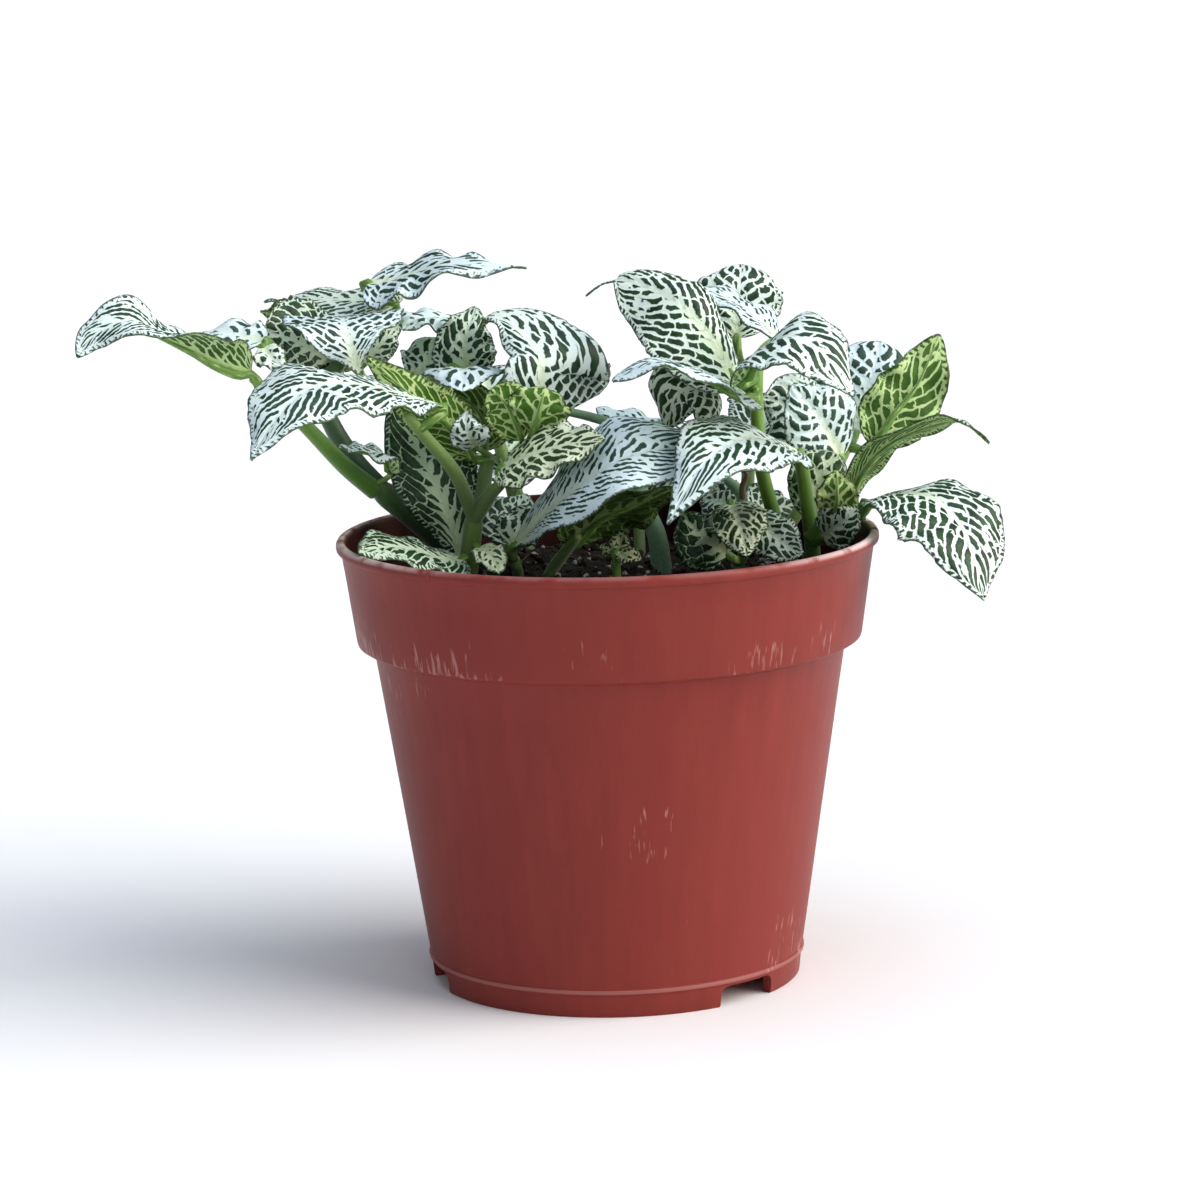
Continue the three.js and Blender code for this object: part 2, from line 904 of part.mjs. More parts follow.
// A place on a leaf: along runs from 0 at the foot to 1 at the tip, across from -1 at the
// left edge to 1 at the right.
function leafPlace(leaf, curve, along, across) {
  const place = curve.getPoint(along);
  const ahead = curve.getTangent(along);
  const chord = pointOf(leaf.rib.at(-1)).sub(pointOf(leaf.rib[0]));
  const flat = chord.cross(pointOf(leaf.faces)).normalize();
  const side = flat.addScaledVector(ahead, -flat.dot(ahead)).normalize();
  side.applyAxisAngle(ahead, radians(leaf.twist * (along - 0.5)));
  const up = side.clone().cross(ahead);
  const out = Math.abs(across);
  const right = across < 0 ? 0 : 1;
  const sign = across < 0 ? -1 : 1;
  const reached = Math.min(1, along / (1 - leaf.drip));
  const share = Math.max(0, outlineShare(reached, leaf.footShape, leaf.tipShape));
  const reach = (leaf.width / 2) * share * (1 + sign * leaf.lean) + bladeFootWidth / 4;
  const fold = leaf.fold[right] * (1 - (1 - leaf.open) * along);
  const rise = radians(fold - leaf.bend[right] * out);
  const ripple = Math.sin(2 * Math.PI * (leaf.ripples * along + leaf.phase) + 2 * right);
  const wave = leaf.wave * out ** 2 * Math.sqrt(Math.sin(Math.PI * along)) * ripple;
  place.addScaledVector(side, sign * out * reach * Math.cos(rise));
  place.addScaledVector(up, out * reach * Math.sin(rise) + wave);
  return place;
}

// A leaf blade as one thin closed sheet, cut into triangles alike on both faces.
function makeBlade(leaf) {
  const curve = new THREE.CatmullRomCurve3(leaf.rib.map(pointOf), false, 'catmullrom', 0.5);
  let stations = smallStations;
  if (leaf.width > smallLeaf) {
    stations += 1;
  }
  if (leaf.width > largeLeaf) {
    stations += 1;
  }
  const columns = leaf.width > smallLeaf ? 4 : 2;
  const grid = [];
  for (let i = 0; i <= stations; i += 1) {
    const along = i / stations;
    const row = [];
    for (let j = 0; j <= columns; j += 1) {
      row.push(leafPlace(leaf, curve, along, (2 * j) / columns - 1));
    }
    grid.push(row);
  }
  const faces = [];
  const corner = (i, j, layer) => (layer * (stations + 1) + i) * (columns + 1) + j;
  const quad = (a, b, c, d) => faces.push(a, b, c, a, c, d);
  for (let i = 0; i < stations; i += 1) {
    for (let j = 0; j < columns; j += 1) {
      const a = [i, j];
      const b = [i, j + 1];
      const c = [i + 1, j + 1];
      const d = [i + 1, j];
      const order = j < columns / 2 ? [a, b, c, d] : [b, c, d, a];
      quad(...order.map((at) => corner(...at, 0)));
      const under = order.map((at) => corner(...at, 1));
      faces.push(under[0], under[2], under[1], under[0], under[3], under[2]);
    }
  }
  for (let i = 0; i < stations; i += 1) {
    const next = i + 1;
    quad(corner(i, 0, 0), corner(next, 0, 0), corner(next, 0, 1), corner(i, 0, 1));
    quad(
      corner(next, columns, 0),
      corner(i, columns, 0),
      corner(i, columns, 1),
      corner(next, columns, 1),
    );
  }
  for (let j = 0; j < columns; j += 1) {
    const next = j + 1;
    quad(corner(0, next, 0), corner(0, j, 0), corner(0, j, 1), corner(0, next, 1));
    quad(
      corner(stations, j, 0),
      corner(stations, next, 0),
      corner(stations, next, 1),
      corner(stations, j, 1),
    );
  }
  const places = [];
  for (const half of [bladeThickness / 2, -bladeThickness / 2]) {
    for (let i = 0; i <= stations; i += 1) {
      for (let j = 0; j <= columns; j += 1) {
        const right = grid[i][Math.min(columns, j + 1)];
        const before = grid[Math.max(0, i - 1)][j];
        const across = right.clone().sub(grid[i][Math.max(0, j - 1)]);
        const ahead = grid[Math.min(stations, i + 1)][j].clone().sub(before);
        const normal = across.cross(ahead).normalize();
        places.push(...grid[i][j].clone().addScaledVector(normal, half).toArray());
      }
    }
  }
  const geometry = new THREE.BufferGeometry();
  geometry.setAttribute('position', new THREE.Float32BufferAttribute(places, 3));
  geometry.setIndex(faces);
  return solidOf(geometry);
}

// The stalk of a leaf, from its stem to a little way along the midrib.
function makeStalk(leaf) {
  const curve = new THREE.CatmullRomCurve3(leaf.rib.map(pointOf), false, 'catmullrom', 0.5);
  const path = [leaf.from, leaf.rib[0], curve.getPoint(stalkReach).toArray()];
  const radius = leaf.width > smallLeaf ? stalkRadius : smallStalkRadius;
  return makeStem({ radius, path });
}

function makeShoot(shoot) {
  const stems = shoot.stems.map(makeStem);
  const stalks = shoot.leaves.map(makeStalk);
  const pieces = [...stems, ...stalks, ...shoot.leaves.map(makeBlade)];
  return settled(settled(pieces.reduce((sum, piece) => sum.add(piece))));
}

// The largest single body of a solid once its places are held as 32-bit numbers, so that
// scraps and pinholes left by the joining are gone.
function settled(solid) {
  const bodies = solidOf(geometryOf(solid)).decompose();
  return bodies.sort((a, b) => b.volume() - a.volume())[0];
}

const plant = new THREE.Group();
plant.add(meshOf('pot', makePot(), '#8e3f37', 0.45));
const rooted = shoots.flatMap((shoot) => shoot.stems).filter((stem) => stem.rooted);
plant.add(meshOf('soil', makeSoil(rooted), '#1d1a1c', 0.95));
for (const shoot of shoots) {
  plant.add(meshOf(shoot.name, makeShoot(shoot), shoot.colour, 0.5));
}
plant.position.set(-footprintX, -footprintY, 0);
const model = new THREE.Group();
model.add(plant);

export default model;
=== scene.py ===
# A potted nerve plant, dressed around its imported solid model: a moulded nursery pot,
# potting soil with perlite, and leafy shoots whose leaves carry a white net of veins.
import math
import random
from functools import partial

import bmesh
import bpy
from mathutils import Matrix, Quaternion, Vector, noise


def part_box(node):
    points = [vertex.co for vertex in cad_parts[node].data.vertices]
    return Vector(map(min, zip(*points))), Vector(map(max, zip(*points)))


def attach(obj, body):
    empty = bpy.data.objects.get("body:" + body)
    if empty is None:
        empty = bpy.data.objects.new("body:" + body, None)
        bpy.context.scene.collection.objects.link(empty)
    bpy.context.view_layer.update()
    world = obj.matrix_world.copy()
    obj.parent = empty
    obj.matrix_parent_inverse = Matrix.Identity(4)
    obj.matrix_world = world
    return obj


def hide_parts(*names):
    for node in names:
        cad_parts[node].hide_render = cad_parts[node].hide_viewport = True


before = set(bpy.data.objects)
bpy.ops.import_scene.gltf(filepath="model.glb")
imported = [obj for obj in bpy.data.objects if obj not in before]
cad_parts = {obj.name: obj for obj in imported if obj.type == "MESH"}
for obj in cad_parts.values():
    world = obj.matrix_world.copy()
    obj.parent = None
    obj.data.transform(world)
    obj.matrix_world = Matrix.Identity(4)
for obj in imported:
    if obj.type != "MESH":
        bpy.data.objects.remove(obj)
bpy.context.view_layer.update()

bpy.context.scene.view_settings.view_transform = "Standard"  # so each hex colour shows as written
mm = 0.001
potLow, potHigh = (Vector(corner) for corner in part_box("pot"))
# leaves and soil count from here
potAxis = Vector(((potLow.x + potHigh.x) / 2, (potLow.y + potHigh.y) / 2, 0))


def scenePlace(point):
    # from millimetres counted from the pot's own axis to the shared frame
    return Vector(point) * mm + potAxis


def hexColour(text):
    # sRGB hex to linear
    parts = [int(text[i:i + 2], 16) / 255 for i in (1, 3, 5)]
    linear = [p / 12.92 if p <= 0.04045 else ((p + 0.055) / 1.055) ** 2.4 for p in parts]
    return (*linear, 1)


def addNode(tree, kind, inputs=(), **settings):
    # one node with its settings; its inputs are named or in order, and each of them is a number,
    # a vector, a hex colour, a socket or a node, which gives its first output in use
    node = tree.nodes.new("ShaderNode" + kind)
    for name, value in settings.items():
        setattr(node, name, value)
    for name, value in inputs.items() if isinstance(inputs, dict) else enumerate(inputs):
        if isinstance(value, bpy.types.Node):
            value = next(output for output in value.outputs if output.enabled)
        if isinstance(value, bpy.types.NodeSocket):
            tree.links.new(value, node.inputs[name])
        else:
            node.inputs[name].default_value = hexColour(value) if isinstance(value, str) else value
    return node


def newMaterial(name):
    material = bpy.data.materials.new(name)
    material.use_nodes = True
    material.node_tree.nodes.clear()
    return material, partial(addNode, material.node_tree)


# The shoots stand in millimetres from the pot's axis. A leaf has its width, the place on the stem
# that its stalk comes from, its midrib from foot to tip and the way that its upper face looks.
# Fold and bend are degrees for its left and right half,
# and open is the share of the fold that is left at the tip. Drip is the narrow share of its length
# at the tip. Look is how warm and how white its net is, and how much painted shade darkens it where
# it lies in shadow; grain and cells are the size of the net and how short its islands are.
leafHabit = {
    "fold": (15, 15), "open": 0.5, "bend": (15, 15), "wave": 1, "ripples": 3, "twist": 0, "lean": 0,
    "footShape": 0.62, "tipShape": 0.95, "drip": 0, "look": (0, 0, 0), "grain": 1, "cells": 1.4,
}


def stem(radii, rooted, *path, kind="greenStem"):
    return {"radii": radii, "rooted": rooted, "path": path, "kind": kind}


def leaf(width, start, rib, faces, **habit):
    return {**leafHabit, "width": width, "from": start, "rib": rib, "faces": faces, **habit}


shoots = [
    {"name": "shoot_left_leaning", "stems": [
        stem((3.4, 3), True, (-29, 30, 86), (-35, 28, 96), (-43, 25, 105), (-56, 16, 118), kind="darkStem"),
        stem((2.4, 1.1), False, (-56, 15, 117), (-63, 10, 124), (-71, 4, 134), (-78, 0, 142), (-84, 0, 147),
             kind="brightStem"),
        stem((2.7, 1.3), False, (-55, 17, 117), (-61, 18, 124), (-66, 20, 132), (-69, 23, 140),
             (-65, 28, 146), (-59, 32, 153), (-53, 35, 160), kind="darkStem"),
        stem((1.2, 0.9), False, (-69, 23, 140), (-73, 15, 144), (-76, 8, 149), (-80, 5, 153),
             kind="brightStem"),
    ], "leaves": [
        leaf(20, (-82, 0, 145), ((-84, 0, 148), (-91, -2, 151), (-97, -5, 155), (-104, -8, 159),
             (-111, -11, 163), (-119, -14, 160), (-123, -17, 155)), (0, -0.35, 1), fold=(60, 15), open=0,
             bend=(10, 0), twist=-80, footShape=0.5, look=(0, 0.1, 0), grain=0.85, cells=1.1),
        leaf(22, (-64, 29, 148), ((-63, 32, 145), (-69, 28, 149), (-75, 24, 153), (-82, 20, 156)),
             (0.1, -1, 0.4), footShape=0.6, tipShape=0.5, look=(0, -0.04, 0.45), grain=0.72),
        leaf(15, (-80, 5, 153), ((-81, 8, 155), (-86, 10, 156), (-91, 12, 157), (-97, 13, 156)),
             (0, -0.5, 1), fold=(10, 10), look=(0.1, 0.3, 0)),
        leaf(7, (-79, 6, 152), ((-81, 3, 154), (-79, 0, 152), (-76, -3, 150)),
             (0, -1, 1), fold=(20, 20), look=(0.3, 0.1, 0)),
        leaf(28.5, (-72, 16, 143), ((-58, 10, 145), (-60, 6, 152), (-62, 9, 158), (-63, 20, 159),
             (-65, 32, 156)), (0.26, -0.8, 0.6), fold=(0, 4), open=1, bend=(0, 0), footShape=2, tipShape=1.1,
             look=(0, 0.14, 0), grain=0.85),
        leaf(23, (-54, 35, 159), ((-50, 34, 160), (-58, 38, 161), (-67, 42, 161), (-77, 48, 161),
             (-84, 50, 160)), (0, -0.3, 1), fold=(10, 10), drip=0.2, look=(0.35, 0.16, 0), grain=0.8,
             cells=1.2),
        leaf(9, (-59, 32, 153), ((-71, 40, 158), (-76, 40, 159), (-80, 39, 159), (-84, 37, 159)),
             (0, 0.5, 1), fold=(25, 25), wave=1.5, look=(0.9, 0, 0)),
        leaf(8, (-64, 29, 148), ((-58, 22, 147), (-55, 19, 151), (-52, 19, 154), (-49, 23, 157)),
             (0.3, -1, 0.3), fold=(25, 5), look=(0, -0.03, 0.4)),
        leaf(23, (-53, 35, 160), ((-57, 30, 166), (-51, 28, 167), (-45, 26, 169), (-38, 22, 171),
             (-29, 20, 171), (-18, 20, 170)), (0, -0.35, 1), fold=(10, 10), wave=1.8, footShape=0.35,
             tipShape=1.2, look=(0, 0.14, 0)),
        leaf(10, (-57, 14, 118), ((-52, 12, 122), (-53, 6, 127), (-58, 0, 129), (-63, -4, 131)),
             (0, -0.5, 1), fold=(20, 20), look=(0, 0.12, 0)),
    ]},
    {"name": "shoot_left_front", "stems": [
        stem((2.5, 2.3), True, (-36, 15, 86), (-34, 12, 97), (-33, 10, 104), (-32, 8, 111)),
        stem((1.9, 1.3), False, (-32, 8, 111), (-36, 0, 123), (-42, -6, 132), (-47, -10, 139)),
        stem((2, 1.6), False, (-32, 8, 111), (-30, 12, 116), (-29, 14, 122), (-28, 14, 125)),
        stem((2.2, 1.3), False, (-32, 8, 111), (-28, 4, 117), (-25, 2, 120)),
    ], "leaves": [
        leaf(30, (-44, -8, 135), ((-38, -6, 140), (-48, -12, 144), (-59, -21, 148), (-69, -31, 148),
             (-76, -40, 142), (-81, -46, 134)), (-0.1, -0.6, 1), fold=(15, 5), wave=1.4, ripples=4, lean=0.05,
             footShape=1, tipShape=1.3, look=(0, 0.1, 0), cells=1.2),
        leaf(20, (-34, 12, 95), ((-35, 12, 99), (-38, 12, 110), (-42, 13, 120), (-46, 13, 129),
             (-51, 14, 139)), (0, -1, 0.3), lean=0.1, footShape=1, tipShape=0.8, look=(0.1, -0.1, 0.75)),
        leaf(14, (-28, 14, 124), ((-32, 12, 125), (-38, 6, 134), (-45, 0, 141), (-56, -4, 152)),
             (-0.3, 1, 0.1), bend=(0, 0), look=(0.85, -0.02, 0)),
        leaf(13, (-28, 14, 124), ((-29, 22, 125), (-29, 24, 131), (-33, 26, 137), (-41, 26, 141)),
             (0.2, 1, 0.5), bend=(0, 0), look=(0.85, -0.02, 0)),
        leaf(9, (-28, 14, 125), ((-31, 9, 128), (-32, 2, 131), (-33, -1, 134), (-33, -1, 138)),
             (0, -1, 0.2), fold=(20, 20), look=(0.2, 0.15, 0)),
        leaf(12, (-25, 2, 120), ((-20, 6, 130), (-22, 2, 136), (-24, 1, 140), (-27, 1, 143)),
             (-0.3, 1, 0.2), fold=(10, 10), bend=(0, 0), footShape=0.5, tipShape=0.6, look=(0.8, 0, 0)),
        leaf(15, (-25, 2, 120), ((-17, 4, 132), (-16, -1, 136), (-15, -2, 140), (-14, 0, 143)),
             (0, 1, 0.2), bend=(0, 0), wave=1.3, footShape=0.5, tipShape=0.5, look=(0.8, 0, 0)),
        leaf(20, (-25, 2, 120), ((-25, 2, 124), (-18, -6, 128), (-10, -12, 131), (0, -16, 133)),
             (0, -0.75, 1), wave=1.2, ripples=4, footShape=0.5, tipShape=0.8, look=(0.7, 0.04, 0),
             grain=0.85),
        leaf(17, (-33, 11, 102), ((-35, 8, 101), (-40, -2, 103), (-47, -10, 107), (-53, -20, 109),
             (-58, -28, 109)), (0, -0.9, 1), fold=(10, 10), look=(0, 0, 0.5)),
        leaf(7, (-33, 10, 105), ((-31, 6, 104), (-29, 0, 104), (-27, -4, 102), (-26, -8, 100)),
             (0.2, -1, 0.4), fold=(20, 20), look=(0.8, 0.2, 0)),
    ]},
    {"name": "shoot_left_back", "stems": [
        stem((1.9, 1.5), True, (-36, 42, 86), (-38, 40, 96), (-40, 38, 106), (-41, 36, 119), (-39, 36, 133),
             (-38, 34, 142), (-37, 34, 150)),
    ], "leaves": [
        leaf(19, (-38, 34, 145), ((-34, 26, 144), (-34, 19, 146), (-34, 12, 146), (-34, 6, 142)),
             (0, -0.45, 1), fold=(10, 10), wave=0.5, footShape=0.5, tipShape=0.8, look=(0, 0.25, 0)),
        leaf(14, (-37, 34, 150), ((-35, 46, 155), (-41, 43, 156), (-46, 39, 156), (-49, 34, 154)),
             (0, -0.3, 1), fold=(10, 10), look=(0, 0.32, 0)),
        leaf(15, (-38, 34, 143), ((-33, 33, 142), (-34, 32, 148), (-33, 32, 154), (-31, 36, 159)),
             (0.1, -1, 0.2), footShape=0.35, tipShape=0.8, look=(0, 0, 0.35), grain=0.72),
        leaf(14, (-38, 34, 141), ((-47, 36, 142), (-44, 38, 145), (-42, 41, 148), (-39, 44, 151)),
             (-0.3, -1, 0.6), look=(0, 0.12, 0), grain=0.75),
    ]},
    {"name": "shoot_middle", "stems": [
        stem((2.6, 1.8), True, (14, 5, 86), (13, 8, 97), (12, 10, 105), (10, 14, 110), (8, 22, 117),
             (12, 30, 126), (15, 32, 129), kind="paleStem"),
        stem((1.4, 1), False, (15, 32, 129), (9, 30, 129), (2, 24, 131), (-5, 17, 134), (-11, 13, 136),
             kind="paleStem"),
    ], "leaves": [
        leaf(33, (-11, 13, 136), ((-14, 12, 133), (-15, 11, 139), (-15, 10, 145), (-15, 12, 150),
             (-19, 17, 154), (-23, 21, 157), (-28, 23, 158), (-30, 23, 155)), (0.75, -1, 0.5), fold=(5, 5),
             bend=(20, 5), lean=0.4, footShape=0.22, tipShape=1.3, look=(0, 0.08, 0), grain=0.95, cells=1.7),
        leaf(13, (12, 29, 125), ((12, 32, 127), (9, 38, 128), (4, 42, 130), (-2, 46, 132)),
             (0, -0.4, 1), fold=(10, 10), look=(0, 0.32, 0)),
    ]},
    {"name": "shoot_low_front", "stems": [
        stem((1.5, 1.2), True, (-21, 18, 86), (-22, 12, 97), (-23, 8, 100), (-23, 4, 104)),
    ], "leaves": [
        leaf(28, (-23, 7, 101), ((-23, 4, 104), (-15, -8, 114), (-6, -15, 122), (6, -16, 129), (24, -9, 130)),
             (0, -0.6, 1), lean=-0.2, footShape=1.1, tipShape=0.6, look=(0, 0.26, 0), grain=0.85, cells=0.85),
        leaf(17, (-22, 10, 99), ((-24, 13, 103), (-24, 20, 107), (-22, 26, 110), (-20, 32, 113)),
             (0, -1, 0.3), look=(0, 0, 0.3), grain=0.8),
        leaf(11, (-23, 8, 100), ((-23, 6, 104), (-22, 6, 107), (-19, 8, 110), (-15, 10, 113)),
             (0, -1, 0.5), look=(0, 0, 0.3)),
    ]},
    {"name": "shoot_small_middle", "stems": [
        stem((1.7, 1.4), True, (-18, 11, 86), (-14, 6, 97), (-11, 2, 102), (-7, -4, 108)),
    ], "leaves": [
        leaf(25, (-11, 2, 102), ((-9, 0, 105), (-2, -4, 112), (7, -7, 116), (16, -9, 120)),
             (0, 0.5, 1), look=(0, 0, 0.8)),
    ]},
    {"name": "seedling", "stems": [
        stem((1.2, 0.9), True, (2, 0, 86), (2, 0, 97), (2, 0, 101), (2, 0, 104), kind="brightStem"),
    ], "leaves": [
        leaf(5, (2, 0, 99), ((2, 1, 103), (3, 2, 105), (4, 2, 108)),
             (-0.4, -1, 0.2), fold=(20, 20), wave=0, look=(0.9, 0, 0.2)),
        leaf(4.5, (2, 0, 99), ((2, -1, 103), (5, -3, 103), (8, -4, 102)),
             (0, -1, 1), fold=(10, 10), wave=0, look=(0.9, 0, 0.2)),
        leaf(4, (2, 0, 99), ((1, 0, 103), (0, 2, 104), (-2, 3, 104)),
             (0, -1, 1), fold=(10, 10), wave=0, look=(0.9, 0, 0.2)),
    ]},
    {"name": "shoot_right_tall", "stems": [
        stem((1.9, 1.5), True, (47, 24, 86), (44, 22, 97), (41, 20, 107), (38, 18, 119), (37, 16, 130),
             (37, 16, 144), (39, 22, 148), (43, 28, 150), kind="brightStem"),
    ], "leaves": [
        leaf(26, (37, 16, 142), ((32, 12, 142), (27, 8, 151), (23, 6, 157), (18, 7, 162), (12, 11, 165),
             (5, 15, 167), (0, 17, 166), (-4, 19, 163)), (-0.1, -1, 0.3), fold=(5, 0), bend=(0, 52), wave=0.6,
             lean=-0.05, footShape=0.42, tipShape=0.62, drip=0.24, look=(0.1, 0.04, 0), grain=0.88),
        leaf(13, (41, 25, 149), ((43, 28, 150), (37, 32, 156), (28, 36, 161), (16, 40, 163)),
             (0, -0.1, 1), fold=(20, 20), footShape=0.5, look=(0, 0.3, 0)),
        leaf(22, (37, 16, 144), ((33, 40, 149), (33, 44, 155), (34, 48, 161), (35, 54, 166)),
             (0, -1, 0.5), fold=(10, 10), footShape=0.6, tipShape=0.5, look=(0.1, 0.05, 0), grain=0.78),
        leaf(28, (37, 16, 142), ((33, 6, 143), (37, 0, 150), (44, -6, 155), (52, -10, 151), (59, -12, 141)),
             (0.2, -0.6, 1), wave=1.3, look=(0, 0.08, 0), cells=1.2),
        leaf(18, (37, 15, 139), ((35, 6, 139), (29, -2, 143), (21, -10, 148), (11, -16, 151), (2, -20, 147)),
             (0, -0.2, 1), fold=(10, 10), twist=30, footShape=0.35, tipShape=0.7, look=(0, 0.25, 0)),
        leaf(20, (37, 15, 140), ((27, 15, 140), (22, 11, 141), (17, 10, 139), (15, 10, 131)),
             (-0.3, -1, 0.5), fold=(10, 10), look=(0.35, 0.04, 0), grain=0.72),
    ]},
    {"name": "shoot_right_front", "stems": [
        stem((2, 1.7), True, (51, 18, 86), (50, 16, 98), (49, 14, 108), (47, 9, 124), kind="brightStem"),
        stem((1.8, 1.5), False, (49, 14, 103), (53, 12, 108), (57, 10, 112), kind="brightStem"),
        stem((1.6, 1.2), False, (49, 15, 102), (56, 9, 105), (63, 4, 112), kind="brightStem"),
    ], "leaves": [
        leaf(26, (47, 10, 121), ((47, 9, 125), (43, 4, 127), (36, -6, 131), (29, -15, 131), (22, -26, 127),
             (14, -34, 115)), (0.2, -0.5, 1), footShape=1, tipShape=1.25, look=(0, 0.12, 0), cells=1.1),
        leaf(15, (49, 15, 106), ((50, 18, 107), (51, 18, 114), (53, 18, 119), (56, 20, 123)),
             (0, -1, 0.2), fold=(10, 10), tipShape=0.6, look=(0.5, -0.02, 0.5), grain=0.75),
        leaf(8.5, (55, 11, 111), ((58, 10, 113), (62, 7, 121), (68, 2, 128), (78, -4, 133), (85, -8, 134),
             (91, -10, 129)), (0, 0.7, 1), fold=(20, 20), footShape=0.35, drip=0.12, look=(0.2, 0, 0.2)),
        leaf(30, (61, 6, 109), ((62, 5, 113), (70, -3, 116), (77, -9, 116), (83, -15, 111), (86, -21, 104),
             (88, -26, 94)), (0.3, -0.6, 1), wave=1.3, ripples=4, lean=0.12, footShape=0.85,
             look=(0.05, 0, 0)),
        leaf(10, (59, 6, 108), ((54, 3, 111), (55, -1, 114), (55, -3, 118), (55, -2, 122)),
             (0, 1, 0.3), fold=(20, 20), look=(1, 0.1, 0)),
        leaf(11, (54, 11, 104), ((52, 8, 104), (54, 2, 107), (57, -2, 110), (60, -2, 113)),
             (0, -1, 0.4), fold=(20, 20), look=(0.3, 0, 0.25)),
    ]},
    {"name": "shoot_right_back", "stems": [
        stem((1.7, 1.4), True, (35, 30, 86), (41, 30, 97), (47, 30, 107), (54, 33, 114), (60, 36, 122)),
    ], "leaves": [
        leaf(28, (60, 36, 122), ((62, 40, 125), (64, 44, 132), (67, 48, 139), (69, 54, 146)),
             (0, -1, 0.4), fold=(10, 10), footShape=0.45, tipShape=0.5, look=(0, 0.16, 0), grain=0.8),
        leaf(20, (57, 35, 118), ((58, 32, 120), (54, 28, 128), (50, 26, 134), (46, 28, 139)),
             (0.2, -1, 0.5), look=(0.1, 0.2, 0), grain=0.8),
        leaf(18, (60, 36, 122), ((66, 34, 122), (71, 34, 130), (77, 36, 137), (83, 40, 149)),
             (0.1, 0.9, 0.3), wave=2, ripples=3.5, tipShape=0.8, look=(0.3, 0.02, 0)),
        leaf(21, (59, 35, 120), ((55, 40, 121), (49, 38, 128), (44, 36, 133), (39, 34, 135)),
             (-0.2, -1, 0.6), look=(0, 0.1, 0.1), grain=0.8),
    ]},
    {"name": "shoot_right_low", "stems": [
        stem((1.5, 1.2), True, (27, 6, 86), (31, 10, 96), (33, 12, 101), (33, 20, 112), (29, 24, 117),
             kind="paleStem"),
        stem((0.9, 0.35), False, (33, 17, 113), (33, 15, 116), (34, 14, 119), (33, 14, 121), (35, 14, 122),
             kind="dryStem"),
    ], "leaves": [
        leaf(16, (32, 11, 98), ((29, 4, 101), (25, 0, 105), (21, 0, 108), (18, 2, 112)),
             (0, -1, 0.4), look=(0, -0.14, 0.85), grain=0.8),
        leaf(14, (33, 18, 109), ((30, 14, 112), (31, 4, 111), (32, -5, 108), (33, -10, 103)),
             (0, -1, 0.4), look=(0.5, 0.03, 0.15), grain=0.85),
        leaf(12, (33, 16, 106), ((35, 16, 109), (39, 8, 106), (43, 4, 103), (47, 2, 101)),
             (0, -1, 0.8), look=(0, 0.02, 0.25)),
        leaf(13, (33, 20, 112), ((31, 24, 109), (28, 30, 110), (26, 34, 110), (23, 38, 109)),
             (0, -1, 0.4), fold=(10, 10), look=(0, 0, 0.3)),
        leaf(12, (33, 19, 111), ((35, 23, 108), (39, 28, 109), (43, 33, 108), (47, 36, 108)),
             (0, -1, 0.4), fold=(10, 10), look=(0, 0, 0.3)),
    ]},
    {"name": "shoot_rear_left", "stems": [
        stem((1.9, 1.6), True, (-17, 35, 86), (-20, 40, 97), (-24, 48, 114), (-29, 56, 130)),
    ], "leaves": [
        leaf(24, (-28, 55, 127), ((-29, 57, 130), (-30, 70, 138), (-31, 82, 137), (-32, 94, 126)),
             (0, 0.2, 1), fold=(20, 20)),
        leaf(20, (-28, 54, 126), ((-30, 56, 129), (-44, 60, 136), (-56, 65, 138), (-66, 71, 133)),
             (-0.2, 0.3, 1), fold=(20, 20)),
        leaf(20, (-25, 49, 117), ((-26, 51, 120), (-17, 61, 124), (-11, 71, 121), (-6, 80, 110)),
             (0.2, 0.4, 1), fold=(20, 20)),
        leaf(20, (-23, 45, 108), ((-22, 46, 112), (-27, 56, 118), (-31, 66, 117), (-34, 77, 109)),
             (-0.2, 0.6, 1), fold=(20, 20)),
    ]},
    {"name": "shoot_rear_right", "stems": [
        stem((1.9, 1.6), True, (32, 29, 86), (33, 35, 97), (35, 43, 110), (36, 52, 122)),
    ], "leaves": [
        leaf(24, (36, 50, 120), ((37, 53, 122), (43, 65, 130), (46, 78, 129), (49, 90, 118)),
             (0, 0.2, 1), fold=(20, 20)),
        leaf(22, (35, 46, 115), ((36, 50, 116), (46, 58, 123), (54, 67, 122), (60, 77, 113)),
             (0.2, 0.4, 1), fold=(20, 20)),
        leaf(21, (36, 48, 117), ((33, 50, 116), (26, 58, 123), (21, 66, 125), (16, 75, 120)),
             (-0.2, 0.4, 1), fold=(20, 20)),
    ]},
    {"name": "shoot_rear_middle", "stems": [
        stem((1.5, 1.3), True, (8, 38, 86), (8, 44, 97), (8, 49, 106), (8, 54, 113)),
    ], "leaves": [
        leaf(20, (8, 52, 110), ((8, 54, 113), (9, 65, 116), (9, 76, 112), (9, 87, 101)),
             (0, 0.3, 1), fold=(20, 20)),
        leaf(17, (8, 48, 104), ((9, 50, 107), (18, 56, 112), (26, 63, 110), (33, 70, 103)),
             (0.2, 0.5, 1), fold=(20, 20)),
    ]},
]


# the camera looks from where the photo was taken, with its angles in radians
cameraSetup = {
    "place": (0, -1060, 280),  # mm from the pot's axis
    "yaw": -0.002,
    "pitch": -0.176,
    "roll": -0.023,
    "lens": 134.5,
}


